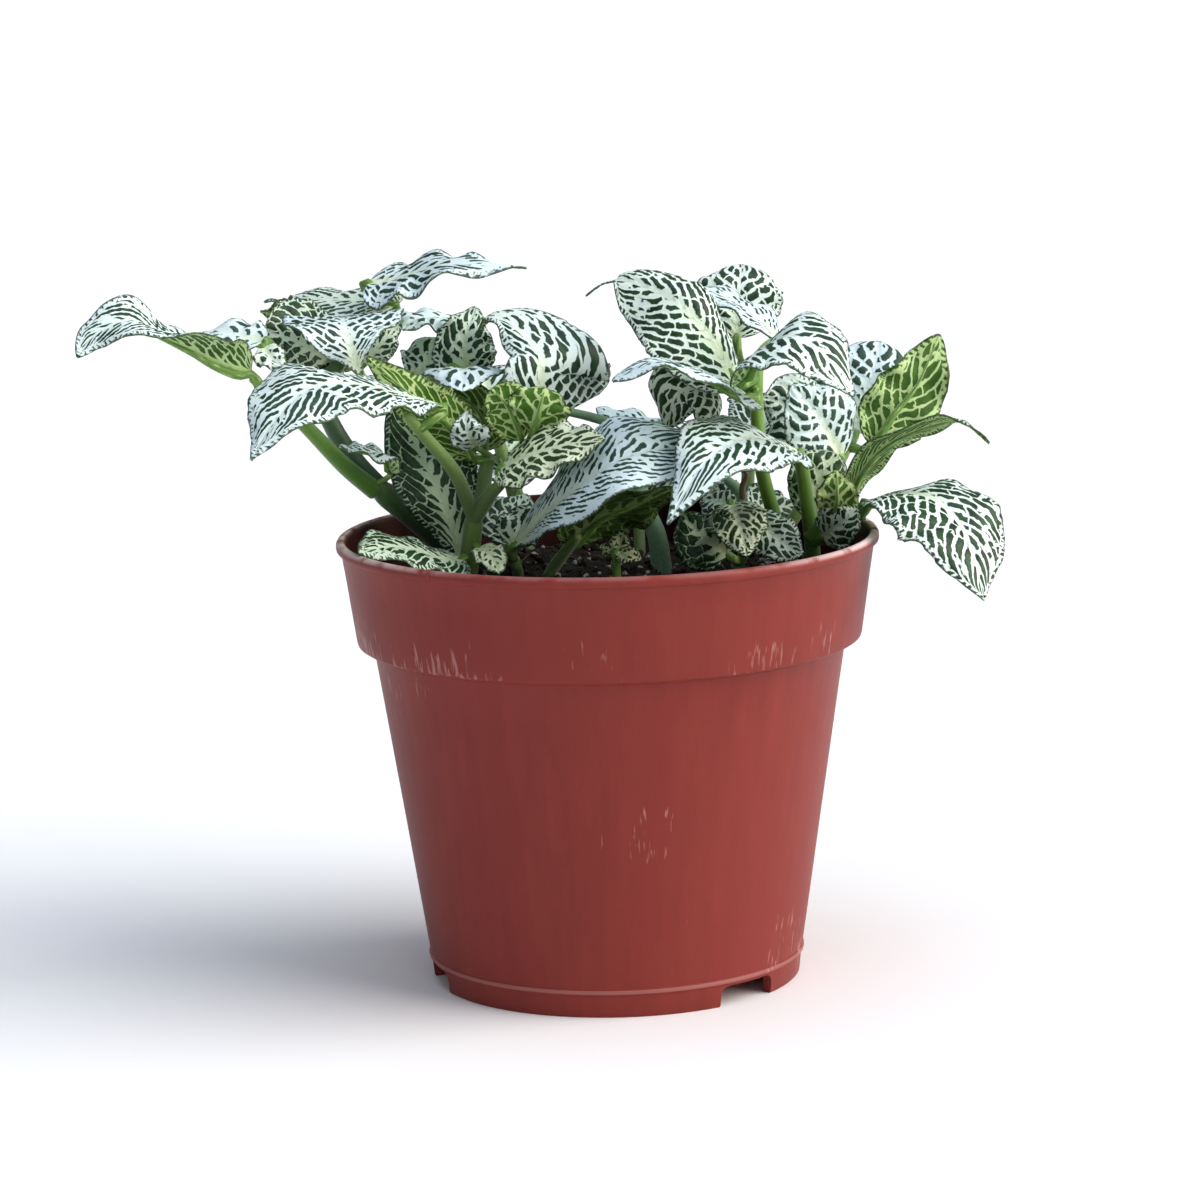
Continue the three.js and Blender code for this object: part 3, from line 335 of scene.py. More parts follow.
def makeCamera():
    yaw, pitch, roll = cameraSetup["yaw"], cameraSetup["pitch"], cameraSetup["roll"]
    ahead = Vector((math.sin(yaw) * math.cos(pitch), math.cos(yaw) * math.cos(pitch), math.sin(pitch)))
    level = Vector((math.cos(yaw), -math.sin(yaw), 0))
    upright = level.cross(ahead)
    right = level * math.cos(roll) + upright * math.sin(roll)
    up = upright * math.cos(roll) - level * math.sin(roll)
    data = bpy.data.cameras.new("photoCamera")
    data.sensor_fit = "HORIZONTAL"
    data.sensor_width = 36
    data.lens = cameraSetup["lens"]
    data.clip_start = 0.05
    data.clip_end = 20
    camera = bpy.data.objects.new("photoCamera", data)
    turn = Matrix((right, up, -ahead)).transposed().to_4x4()
    camera.matrix_world = Matrix.Translation(scenePlace(cameraSetup["place"])) @ turn
    bpy.context.scene.collection.objects.link(camera)
    bpy.context.scene.camera = camera


floorSetup = {"size": 60.0, "light": "#ffffff", "shade": "#fafafa", "roughness": 0.8, "specular": 0.1}
lightSetup = {
    "sky": ("#eef2fa", 0.18),
    # name: where it comes from, angle of softness, strength, colour
    "key": ((1.5, -0.4, 0.85), 60, 3.7, "#fff7ee"),
    "top": ((0.1, 0.0, 1.0), 60, 1.45, "#dcebff"),
    "fill": ((-0.3, -1.0, 0.6), 70, 0.4, "#f2f6ff"),
}


def makeFloor():
    bm = bmesh.new()
    bmesh.ops.create_grid(bm, x_segments=1, y_segments=1, size=floorSetup["size"] / 2)
    floor = pieceFrom("floor", bm, [floorMaterial()])


def floorMaterial():
    # white studio paper: matt, so that it only catches a soft shadow
    material, add = newMaterial("studioPaper")
    place = add("TexCoord").outputs["Object"]
    grain = add("TexNoise", {"Vector": place, "Scale": 900.0, "Detail": 2.0})
    colour = add("Mix", {"Factor": grain, "A": floorSetup["shade"], "B": floorSetup["light"]},
                 data_type="RGBA")
    surface = add("BsdfPrincipled", {"Base Color": colour, "Roughness": floorSetup["roughness"],
                                     "Specular IOR Level": floorSetup["specular"]})
    add("OutputMaterial", {"Surface": surface})
    return material


def makeLights():
    world = bpy.data.worlds.new("studio")
    bpy.context.scene.world = world
    world.use_nodes = True
    background = world.node_tree.nodes["Background"]
    background.inputs["Color"].default_value = hexColour(lightSetup["sky"][0])
    background.inputs["Strength"].default_value = lightSetup["sky"][1]
    for name in ("key", "top", "fill"):
        place, softness, strength, colour = lightSetup[name]
        data = bpy.data.lights.new(name, "SUN")
        data.angle = math.radians(softness)
        data.energy = strength
        data.color = hexColour(colour)[:3]
        lamp = bpy.data.objects.new(name, data)
        lamp.location = place
        lamp.rotation_euler = (-Vector(place)).to_track_quat("-Z", "Y").to_euler()
        bpy.context.scene.collection.objects.link(lamp)


def pieceFrom(name, bm, materials, smooth=True):
    mesh = bpy.data.meshes.new(name)
    bm.to_mesh(mesh)
    bm.free()
    for material in materials:
        mesh.materials.append(material)
    for polygon in mesh.polygons:
        polygon.use_smooth = smooth
    piece = bpy.data.objects.new(name, mesh)
    bpy.context.scene.collection.objects.link(piece)
    return piece


def standFor(piece, node):
    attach(piece, "root")
    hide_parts(node)


def curveAt(points, share):
    # a smooth curve through points, evenly shared between them: place and direction
    count = len(points) - 1
    step = min(max(share, 0), 1) * count
    i = min(int(step), count - 1)
    s = step - i
    here, there = Vector(points[i]), Vector(points[i + 1])
    before = Vector(points[i - 1]) if i > 0 else here * 2 - there
    after = Vector(points[i + 2]) if i + 2 <= count else there * 2 - here
    leave, arrive = (there - before) / 2, (after - here) / 2
    cubic = here * 2 - there * 2 + leave + arrive
    square = there * 3 - here * 3 - leave * 2 - arrive
    place = here + leave * s + square * s * s + cubic * s ** 3
    return place, (leave + square * 2 * s + cubic * 3 * s * s).normalized()


def smoothStep(low, high, value):
    t = min(max((value - low) / (high - low), 0), 1)
    return t * t * (3 - 2 * t)


def addTube(bm, place, radiusAt, steps, sides, materialIndex):
    # a closed tube along place(share) -> (point in mm, direction), its width by radiusAt(share)
    grid = bmesh.ops.create_grid(bm, x_segments=steps, y_segments=sides, size=0.5)["verts"]
    layer = bm.loops.layers.uv.get("stemPlace") or bm.loops.layers.uv.new("stemPlace")
    rings = []
    side = place(0)[1].orthogonal().normalized()
    length = 0
    last = None
    for i in range(steps + 1):
        point, ahead = place(i / steps)
        side = (side - ahead * side.dot(ahead)).normalized()
        if last is not None:
            length += (point - last).length
        last = point
        rings.append((point, side.copy(), ahead.cross(side).normalized(), radiusAt(i / steps), length))
    shares = {}
    for vert in grid:
        turn = vert.co.y + 0.5
        point, across, over, radius, reached = rings[round((vert.co.x + 0.5) * steps)]
        angle = turn * math.tau
        shares[vert] = (turn, reached)
        vert.co = scenePlace(point + (across * math.cos(angle) + over * math.sin(angle)) * radius)
    faces = {face for vert in grid for face in vert.link_faces}
    for face in faces:
        face.material_index = materialIndex
        for loop in face.loops:
            loop[layer].uv = shares[loop.vert]
    bmesh.ops.remove_doubles(bm, verts=grid, dist=1e-7)
    living = [vert for vert in grid if vert.is_valid]
    edges = {edge for vert in living for edge in vert.link_edges if edge.is_boundary}
    caps = bmesh.ops.holes_fill(bm, edges=list(edges), sides=0)["faces"]
    for face in caps:
        face.material_index = materialIndex
    tubeFaces = {face for vert in living for face in vert.link_faces}
    bmesh.ops.recalc_face_normals(bm, faces=list(tubeFaces))


# Leaf blade, upper side: living leaf tissue with a thin waxy skin, so a soft satin gloss.
# A broad pale midrib sends out side veins, and between each two of them the green shows in a
# row of islands, parted by thinner cross veins. By the margin the net is finer, with a dark edge.
netLook = {
    "islandDark": "#0f2712",
    "islandLight": "#2a4c2c",
    "islandWarm": "#33481c",
    # painted sheen: bluish islands on the whitest leaves, standing for the sky's reflection
    "islandSkySheen": "#33514a",
    "net": "#e6f6ee",
    # painted sheen: bluish white net on the whitest leaves, standing for the sky's reflection
    "netSkySheen": "#d9edf2",
    "netWarm": "#dcecc2",
    "netCream": "#dfe8b8",
    # painted shade: the net's grey-green on leaves that lie in shadow
    "netShade": "#a3bf93",
    "margin": "#22402c",
    "gloss": 0.36,
    "specular": 0.36,
    "swell": 0.0003,  # height of an island in metres
    "sideVein": 0.42,  # half-widths in mm
    "crossVein": 0.22,
    "fineVein": 0.13,
    "edge": 0.16,  # how softly an island ends
    "roundness": 0.55,
    "ribSpread": (4.5, 1.0, 0.0, 0.3),  # how much wider side veins get towards the midrib
    "shadeNarrow": (2.5, 8.0, 0.0, -0.34),
    "ribEdge": (0.85, 1.25),
    "fineStretch": (0.85, 0.5, 0.0),
    "marginZone": (2.5, 1.4),  # mm from the margin where the fine net takes over
    "marginLine": (0.75, 0.2, 0.0, 0.9),
    "rowPitch": 3.2,
    "rowDrift": (0.95, 0.47),  # how far a row strays, and its middle
    "islandLength": 4.2,
    "islandDrift": 4.0,
    "islandScatter": 7.0,
    "islandLean": 0.55,
}
# Underside: duller and yellower, the same net showing through in paler green; its bright yellow-green is
# partly painted light, for light shining through the thin blade.
underLook = {
    **netLook,
    "islandDark": "#2b4a1c",
    "islandLight": "#47692a",
    "islandWarm": "#47721a",
    # painted sheen for the whitest leaves, kept in the underside's greens
    "islandSkySheen": "#47692a",
    "net": "#b4d091",
    "netSkySheen": "#bcd6a4",
    "netWarm": "#b2cc86",
    "netCream": "#bbcf8c",
    "netShade": "#6d8a4c",
    "margin": "#2c441a",
    "gloss": 0.5,
    "specular": 0.25,
    "swell": -0.0002,
    "sideVein": 0.24,
    "crossVein": 0.12,
    "edge": 0.2,
}


def netMaterial(name, look):
    material, add = newMaterial(name)
    # millimetres along and across the blade, so that a scale of 0.2 is a pattern about 5 mm wide
    sheet = add("UVMap", uv_map="sheet")
    net, place, kind, tone = (add("SeparateXYZ", [add("UVMap", uv_map=title)]).outputs
                              for title in ("net", "place", "kind", "tone"))
    ribShare, marginGap = place["X"], place["Y"]
    warmth, whiteness = kind["X"], kind["Y"]
    shade, along = tone["X"], tone["Y"]
    # no vein is straight: rows and islands drift by about a millimetre
    drift = add("TexNoise", {"Vector": sheet, "Scale": 0.2, "Detail": 2.0}, noise_dimensions="2D")
    drift = add("SeparateColor", [drift.outputs["Color"]]).outputs
    row = add("Math", [net["X"], look["rowDrift"][1]], operation="SUBTRACT")
    row = add("Math", [drift["Red"], look["rowDrift"][0], row], operation="MULTIPLY_ADD")
    rowNumber = add("Math", [row], operation="FLOOR")
    rowShare = add("Math", [row], operation="FRACT")
    chance = add("TexWhiteNoise", {"W": rowNumber}, noise_dimensions="1D")
    out = add("Math", [drift["Green"], look["islandDrift"], net["Y"]], operation="MULTIPLY_ADD")
    start = add("Math", [rowShare, look["islandLean"]], operation="MULTIPLY")
    start = add("Math", [chance, look["islandScatter"], start], operation="MULTIPLY_ADD")
    cell = add("Math", [out, 1 / look["islandLength"], start], operation="MULTIPLY_ADD")
    # how far in mm a point lies from the next side vein and from the next cross vein
    rowGap = add("Math", [row, 0.5], operation="PINGPONG")
    rowGap = add("Math", [rowGap, look["rowPitch"]], operation="MULTIPLY")
    cellGap = add("Math", [cell, 0.5], operation="PINGPONG")
    cellGap = add("Math", [cellGap, look["islandLength"]], operation="MULTIPLY")
    # side veins widen by the midrib, and all are wider on the whitest leaves
    nearRib = add("MapRange", [ribShare, *look["ribSpread"]], interpolation_type="SMOOTHSTEP")
    shadeWidth = add("Math", [shade, 2.0, 1.0], operation="MULTIPLY_ADD")
    sideWidth = add("Math", [whiteness, look["sideVein"]], operation="ADD")
    sideWidth = add("Math", [nearRib, shadeWidth, sideWidth], operation="MULTIPLY_ADD")
    # on a leaf with painted shade the side veins narrow towards the margin, so more of its green shows there
    outward = add("MapRange", [ribShare, *look["shadeNarrow"]], interpolation_type="SMOOTHSTEP")
    sideWidth = add("Math", [shade, outward, sideWidth], operation="MULTIPLY_ADD")
    crossWidth = add("Math", [whiteness, 1.2, look["crossVein"]], operation="MULTIPLY_ADD")
    rowGap = add("Math", [rowGap, sideWidth], operation="SUBTRACT")
    cellGap = add("Math", [cellGap, crossWidth], operation="SUBTRACT")
    gap = add("Math", [rowGap, cellGap, look["roundness"]], operation="SMOOTH_MIN")
    # finer net by the margin, its islands standing across the edge
    edgePlace = add("CombineXYZ", [add("SeparateXYZ", [sheet]).outputs["X"], marginGap])
    edgePlace = add("VectorMath", [edgePlace, look["fineStretch"]], operation="MULTIPLY")
    fine = add("TexVoronoi", {"Vector": edgePlace, "Scale": 1.0, "Randomness": 0.8},
               voronoi_dimensions="2D", feature="DISTANCE_TO_EDGE")
    fineWidth = add("Math", [whiteness, look["fineVein"]], operation="ADD")
    fineGap = add("Math", [fine, fineWidth], operation="SUBTRACT")
    nearMargin = add("MapRange", [marginGap, *look["marginZone"]], interpolation_type="SMOOTHSTEP")
    gap = add("Mix", {"Factor": nearMargin, "A": gap, "B": fineGap})
    ragged = add("TexNoise", {"Vector": sheet, "Scale": 1.1, "Detail": 3.0}, noise_dimensions="2D")
    ragged = add("Math", [ragged, 0.5], operation="SUBTRACT")
    gap = add("Math", [ragged, 0.5, gap], operation="MULTIPLY_ADD")
    island = add("MapRange", [gap, 0.0, look["edge"]], interpolation_type="SMOOTHSTEP")
    besideRib = add("Math", [ragged, 0.5, ribShare], operation="MULTIPLY_ADD")
    besideRib = add("MapRange", [besideRib, *look["ribEdge"]], interpolation_type="SMOOTHSTEP")
    island = add("Math", [island, besideRib], operation="MULTIPLY")
    # the greens of the islands, then the pales of the net
    mottle = add("TexNoise", {"Vector": sheet, "Scale": 0.35, "Detail": 4.0}, noise_dimensions="2D")
    mottle = add("MapRange", [mottle, 0.3, 0.7], interpolation_type="SMOOTHSTEP")
    warmShare = add("Math", [warmth, 0.8], operation="MULTIPLY")
    # painted sheen: the whiter the net, the more its islands turn bluish, for the sky's reflection
    islandSheenShare = add("MapRange", [whiteness, 0.0, 0.3, 0.0, 0.6], interpolation_type="SMOOTHSTEP")
    green = look["islandDark"]
    for share, tint in ((mottle, "islandLight"), (warmShare, "islandWarm"), (islandSheenShare, "islandSkySheen")):
        green = add("Mix", {"Factor": share, "A": green, "B": look[tint]}, data_type="RGBA")
    # painted sheen: the net of the whiter leaves turns bluish white, for the sky's reflection
    netSkySheen = add("MapRange", [whiteness, 0.04, 0.18, 0.0, 0.9], interpolation_type="SMOOTHSTEP")
    ribTint = add("MapRange", [ribShare, 3.0, 0.7, 0.0, 0.8], interpolation_type="SMOOTHSTEP")
    footTint = add("MapRange", [along, 0.7, 0.05, 0.1, 0.9], interpolation_type="SMOOTHSTEP")
    ribTint = add("Math", [ribTint, footTint], operation="MULTIPLY")
    # painted shade: the net turns grey-green on leaves that lie in shadow
    pale = look["net"]
    for share, tint in ((netSkySheen, "netSkySheen"), (warmth, "netCream"), (shade, "netShade"),
                        (ribTint, "netWarm")):
        pale = add("Mix", {"Factor": share, "A": pale, "B": look[tint]}, data_type="RGBA")
    rim = add("Math", [ragged, -2.2, marginGap], operation="MULTIPLY_ADD")
    rim = add("MapRange", [rim, *look["marginLine"]], interpolation_type="SMOOTHSTEP")
    colour = add("Mix", {"Factor": island, "A": pale, "B": green}, data_type="RGBA")
    colour = add("Mix", {"Factor": rim, "A": colour, "B": look["margin"]}, data_type="RGBA")
    # the green swells a little between the veins
    height = add("MapRange", [gap, -0.2, 0.5], interpolation_type="SMOOTHSTEP")
    skin = add("TexNoise", {"Vector": sheet, "Scale": 5.0, "Detail": 2.0}, noise_dimensions="2D")
    height = add("Math", [skin, 0.15, height], operation="MULTIPLY_ADD")
    bump = add("Bump", {"Height": height, "Strength": 0.55, "Distance": look["swell"]})
    gloss = add("Math", [island, -0.08, look["gloss"] + 0.08], operation="MULTIPLY_ADD")
    surface = add("BsdfPrincipled", {"Base Color": colour, "Roughness": gloss, "Normal": bump, "IOR": 1.42,
                                     "Specular IOR Level": look["specular"]})
    add("OutputMaterial", {"Surface": surface})
    return material


# Leaf stalk and midrib: juicy green tissue, finely ridged along its length.
stalkLook = {
    "green": "#6f9a44",
    "pale": "#b5cb82",
    "shade": "#567c34",
    "radius": 1.15,
    "youngRadius": 0.7,
    "reach": 0.93,  # how far towards the leaf's tip it can be told from the blade
    "foot": 0.25,  # how much thicker it is where it leaves the stem
    "least": 0.12,
    "steps": 26,
    "sides": 10,
    "youngSides": 7,
}


def stalkMaterial():
    material, add = newMaterial("leafStalkGreen")
    along = add("UVMap", uv_map="stemPlace")
    stretch = add("Mapping", {"Vector": along, "Scale": (9.0, 0.25, 1.0)})
    streak = add("TexNoise", {"Vector": stretch, "Scale": 1.0, "Detail": 3.0}, noise_dimensions="2D")
    lit = add("MapRange", [streak, 0.5, 0.8])
    colour = add("Mix", {"Factor": streak, "A": stalkLook["shade"], "B": stalkLook["green"]},
                 data_type="RGBA")
    colour = add("Mix", {"Factor": lit, "A": colour, "B": stalkLook["pale"]}, data_type="RGBA")
    bump = add("Bump", {"Height": streak, "Strength": 0.4, "Distance": 0.0002})
    surface = add("BsdfPrincipled", {"Base Color": colour, "Roughness": 0.45, "Normal": bump, "IOR": 1.42})
    add("OutputMaterial", {"Surface": surface})
    return material


# Stem: round, juicy, a little downy, darker near the soil. Each kind has its colour at the top and low down.
stemLook = {
    "kinds": {
        "greenStem": ("#7b9a4a", "#59743e"),
        "darkStem": ("#4b6f3c", "#2b4c30"),
        "paleStem": ("#86ac84", "#5c8661"),
        "brightStem": ("#739a3a", "#4e7a26"),
        "dryStem": ("#8a6f52", "#6f5640"),
    },
    "fleck": "#3c5526",
    "rise": (8.0, 45.0),  # mm along it between which the colour changes
    "steps": 40,
    "sides": 14,
}


def stemMaterial(name, top, low):
    material, add = newMaterial(name)
    along = add("UVMap", uv_map="stemPlace")
    stretch = add("Mapping", {"Vector": along, "Scale": (7.0, 0.12, 1.0)})
    streak = add("TexNoise", {"Vector": stretch, "Scale": 1.0, "Detail": 4.0}, noise_dimensions="2D")
    rise = add("MapRange", [add("SeparateXYZ", [along]).outputs["Y"], *stemLook["rise"]])
    rise = add("Math", [streak, 0.6, rise], operation="MULTIPLY_ADD")
    rise = add("Math", [rise, 0.3], operation="SUBTRACT", use_clamp=True)
    colour = add("Mix", {"Factor": rise, "A": low, "B": top}, data_type="RGBA")
    # tiny darker flecks, about a millimetre apart
    spread = add("Mapping", {"Vector": along, "Scale": (12.0, 0.9, 1.0)})
    fleck = add("TexVoronoi", {"Vector": spread, "Scale": 1.0}, voronoi_dimensions="2D")
    fleck = add("MapRange", [fleck, 0.22, 0.1, 0.0, 0.4])
    colour = add("Mix", {"Factor": fleck, "A": colour, "B": stemLook["fleck"]}, data_type="RGBA")
    bump = add("Bump", {"Height": streak, "Strength": 0.35, "Distance": 0.0003})
    surface = add("BsdfPrincipled", {"Base Color": colour, "Roughness": 0.48, "Normal": bump, "IOR": 1.42,
                                     "Sheen Weight": 0.35, "Sheen Roughness": 0.5})
    add("OutputMaterial", {"Surface": surface})
    return material


# form of the leaf blades, in mm where nothing else is said
bladeLook = {
    "thickness": 0.36,
    "sizes": ((19, 50, 24), (13, 40, 20), (0, 26, 14)),  # rows and columns for leaves wider than this many mm
    "young": 13,  # leaves up to this width have a thinner stalk and a finer net
    "youngNet": 0.7,
    "rowStep": 4.3,  # millimetres of midrib for each side vein
    "veinLean": 0.42,  # how far a side vein has run forward, in leaf lengths, when it meets the margin
    "quilt": 0.4,  # how high the blade swells between its side veins
    "ribDip": 0.3,
    "ribWidth": 1.2,
    "ruffle": 0.45,
    "ruffleCount": 9,
    "scallop": 0.035,  # how far the margin goes in and out, as a share of the half-width
    "leastReach": 0.4,  # half-width at the very foot and tip
}


def outlineShare(along, foot, tip):
    widest = foot / (foot + tip)
    return along ** foot * (1 - along) ** tip / (widest ** foot * (1 - widest) ** tip)


def leafStation(leaf, along):
    # middle, sideways and upward directions of the blade at one station, and its half-width
    place, ahead = curveAt(leaf["rib"], along)
    chord = Vector(leaf["rib"][-1]) - Vector(leaf["rib"][0])
    flat = chord.cross(Vector(leaf["faces"])).normalized()
    side = (flat - ahead * flat.dot(ahead)).normalized()
    side.rotate(Quaternion(ahead, math.radians(leaf["twist"] * (along - 0.5))))
    share = max(0, outlineShare(min(1, along / (1 - leaf["drip"])), leaf["footShape"], leaf["tipShape"]))
    return place, side, side.cross(ahead), share


def leafPlace(leaf, station, along, across):
    place, side, up, share = station
    out = abs(across)
    right = 0 if across < 0 else 1
    sign = -1 if across < 0 else 1
    reach = leaf["width"] / 2 * share * (1 + sign * leaf["lean"]) + bladeLook["leastReach"]
    notch = noise.noise(Vector((along * leaf["width"] * 0.9, sign * 5, leaf["rib"][0][0])))
    reach *= 1 + bladeLook["scallop"] * 2 * notch * out ** 4
    fold = leaf["fold"][right] * (1 - (1 - leaf["open"]) * along)
    rise = math.radians(fold - leaf["bend"][right] * out)
    ripple = math.sin(math.tau * leaf["ripples"] * along + 2 * right)
    wave = leaf["wave"] * out ** 2 * math.sqrt(math.sin(math.pi * along)) * ripple
    sideways, upward = sign * out * reach * math.cos(rise), out * reach * math.sin(rise) + wave
    return place + side * sideways + up * upward, reach


def ribLength(leaf):
    return sum((Vector(a) - Vector(b)).length for a, b in zip(leaf["rib"], leaf["rib"][1:]))


def addBlade(bm, leaf, number):
    rows, columns = next(size[1:] for size in bladeLook["sizes"] if leaf["width"] > size[0])
    length = ribLength(leaf)
    scale = leaf["grain"] * (bladeLook["youngNet"] if leaf["width"] <= bladeLook["young"] else 1)
    sheet = bmesh.ops.create_grid(bm, x_segments=rows, y_segments=columns, size=0.5)["verts"]
    stations = [leafStation(leaf, i / rows) for i in range(rows + 1)]
    uv = bm.loops.layers.uv
    netLayer, placeLayer, kindLayer, toneLayer, sheetLayer = (
        uv.get(title) or uv.new(title) for title in ("net", "place", "kind", "tone", "sheet"))
    facts = {}
    for vert in sheet:
        i = round((vert.co.x + 0.5) * rows)
        along, across = i / rows, -2 * vert.co.y
        point, reach = leafPlace(leaf, stations[i], along, across)
        out = abs(across)
        rowsOfNet = length / (bladeLook["rowStep"] * scale)
        q = rowsOfNet * (along - bladeLook["veinLean"] * out * (0.7 + 0.3 * out)) + (0.5 if across > 0 else 0)
        r = out * reach / scale
        ribHalf = bladeLook["ribWidth"] * (1.05 - along) * (0.5 + leaf["width"] / 50)
        facts[vert] = (along, across, q, r, out * reach / ribHalf, (1 - out) * reach / scale)
        vert.co = scenePlace(point)
    faces = list({face for vert in sheet for face in vert.link_faces})
    for face in faces:
        face.normal_update()
    for vert in sheet:
        vert.normal_update()
    # the blade swells between its side veins, dips along the midrib and ruffles by the margin
    moves = {}
    for vert in sheet:
        along, across, q, r, ribShare, gap = facts[vert]
        fade = min(1, r / 3) * smoothStep(0, 0.12, along) * smoothStep(0, 0.1, 1 - along)
        swell = bladeLook["quilt"] * (abs(math.sin(math.pi * q)) - 0.5) * fade * smoothStep(0, 1.5, gap)
        dip = -bladeLook["ribDip"] * math.exp(-(ribShare / 1.6) ** 2) * smoothStep(0, 0.1, along)
        wobble = noise.noise(Vector((along * bladeLook["ruffleCount"], number * 3.7, 5 if across > 0 else 0)))
        ruffle = bladeLook["ruffle"] * abs(across) ** 3 * wobble
        moves[vert] = vert.normal * ((swell + dip + ruffle) * mm)
    for vert, move in moves.items():
        vert.co += move
    salt = number * 7.31  # so that no two leaves share a pattern
    for face in faces:
        face.material_index = 0
        middle = sum(facts[loop.vert][1] for loop in face.loops) / 4
        for loop in face.loops:
            along, across, q, r, ribShare, gap = facts[loop.vert]
            if abs(across) < 1e-6 and middle > 0:
                q += 0.5
            sign = 1 if middle > 0 else -1
            loop[netLayer].uv = (q + number * 37 + 11 * sign, r * leaf["cells"])
            loop[sheetLayer].uv = (along * length / scale + salt * 9, sign * r + salt * 5)
            loop[placeLayer].uv = (ribShare, gap)
            loop[kindLayer].uv = leaf["look"][:2]
            loop[toneLayer].uv = (leaf["look"][2], along)
    # solidify turns the sheet over for the underside and closes the rim between them
    upper = set(faces)
    before = set(bm.faces) - upper
    bmesh.ops.solidify(bm, geom=faces, thickness=bladeLook["thickness"] * mm)
    blade = [face for face in bm.faces if face not in before]
    bmesh.ops.recalc_face_normals(bm, faces=blade)
    for face in blade:
        face.material_index = 0 if face in upper else 1


def addStalk(bm, leaf):
    # the stalk comes from its stem, runs into the midrib and tapers out along the underside
    look = stalkLook
    start, foot = Vector(leaf["from"]), Vector(leaf["rib"][0])
    reach = (foot - start).length
    stalkShare = reach / (reach + ribLength(leaf))
    young = leaf["width"] <= bladeLook["young"]
    full = look["youngRadius"] if young else look["radius"]
    handle = reach * 0.45
    second = start + (foot - start).normalized() * handle
    third = foot - curveAt(leaf["rib"], 0)[1] * handle

    def place(share):
        t = share * look["reach"]
        if t <= stalkShare:
            s = t / stalkShare
            point = (start * (1 - s) ** 3 + second * 3 * s * (1 - s) ** 2
                     + third * 3 * s * s * (1 - s) + foot * s ** 3)
            slope = ((second - start) * (1 - s) ** 2 + (third - second) * 2 * s * (1 - s)
                     + (foot - third) * s * s)
            return point, slope.normalized()
        along = (t - stalkShare) / (1 - stalkShare)
        middle, _, up, _ = leafStation(leaf, along)
        drop = (radius(share) * 0.85 + bladeLook["ribDip"] + 0.25) * smoothStep(0, 0.06, along)
        return middle - up * drop, curveAt(leaf["rib"], along)[1]

    def radius(share):
        t = share * look["reach"]
        if t <= stalkShare:
            return full * (1 + look["foot"] * (1 - smoothStep(0, 0.35, t / stalkShare)))
        along = (t - stalkShare) / (1 - stalkShare)
        return max(full * (1 - along) ** 1.2, look["least"])

    addTube(bm, place, radius, look["steps"], look["youngSides"] if young else look["sides"], 2)


def addStem(bm, stem):
    def radius(share):
        wide = stem["radii"][0] + (stem["radii"][1] - stem["radii"][0]) * share
        foot = 0.15 * math.exp(-(share / 0.15) ** 2) if stem["rooted"] else 0
        end = 0.75 + 0.25 * (1 - smoothStep(0.93, 1, share))
        return wide * (1 + foot) * end

    addTube(bm, partial(curveAt, stem["path"]), radius, stemLook["steps"], stemLook["sides"],
            list(stemLook["kinds"]).index(stem["kind"]))


def makeShoot(shoot, leafFinishes, stemFinishes):
    title = "".join(word.capitalize() for word in shoot["name"].split("_"))
    leavesMesh, stemsMesh = bmesh.new(), bmesh.new()
    for number, leaf in enumerate(shoot["leaves"]):
        addBlade(leavesMesh, leaf, number + len(title) * 5)
        addStalk(leavesMesh, leaf)
    for stem in shoot["stems"]:
        addStem(stemsMesh, stem)
    standFor(pieceFrom("leaves" + title, leavesMesh, leafFinishes), shoot["name"])
    standFor(pieceFrom("stems" + title, stemsMesh, stemFinishes), shoot["name"])


# Thin polypropylene nursery pot: injection moulded, so a slight orange-peel gloss, faint flow
# streaks up the wall, a parting line at the foot and pale scuffs from handling.
potLook = {
    "base": "#80312b",
    "deep": "#6c2623",
    "warm": "#90392e",
    # pale scuffs; the same colour also paints a highlight on the parting line
    "scuff": "#c0908a",
    # pale lip: partly rubbed wear, partly a painted highlight
    "lip": "#e6cfcb",
    # painted shade for the inner wall above the soil
    "innerShade": "#2c1716",
    "roughness": 0.46,
    "specular": 0.18,
    # form, in mm
    "rim": 65.0,
    "height": 108.0,
    "lipHeight": 2.6,
    "collarTop": 63.8,
    "collarFoot": 60.6,
    "collarFootHeight": 83.4,
    "bodyTop": 56.6,
    "shoulder": 81.6,
    "bodyFoot": 45.2,
    "flare": ((2.2, 21), (4.6, 37), (7.2, 54), (9.6, 69.8)),  # how far the body has widened, by height
    "seam": 6.2,
    "foot": 44.4,
    "wall": 1.5,
    "footWall": 2.2,
    "notches": (44, 164, 284),  # degrees
    "notchWidth": 17,
    "notchHeight": 5,
    "notchRound": 2.2,
    "drains": 8,
    "drainRadius": 3.5,
    "drainCircle": 30,
    "cutDepth": 12,
    "steps": 192,
    "sharpFrom": 40,  # degrees
    # wear, painted highlight and painted shade, with heights in metres
    "flow": (240.0, 240.0, 16.0),  # streaks about 4 mm wide round the wall and 60 mm long up it
    "scratch": (900.0, 900.0, 70.0),  # thin upright scratches, about 1 mm apart
    "collarRub": (0.097, 0.086),  # down the collar the rub grows from none to most
    "collarEnd": (0.0815, 0.083),
    "scuffs": (0.435, 0.5, 0.0, 0.45),
    "lipTopBand": (0.1067, 0.1078),
    "lipPalePatches": (0.34, 0.52, 0.0, 0.95),
    "lipPaleSides": (0.035, 0.062, 0.1),  # the lip is paler most at the far left and right: partly rubbed wear, partly a painted highlight
    "innerFlare": 0.148,
    "innerWall": (0.0474, 0.0469),  # radius that the inner wall would have at the ground
    # heights where the painted shade on the inner wall starts and ends
    "innerShadeRise": (0.088, 0.09, 0.0, 0.85),
}


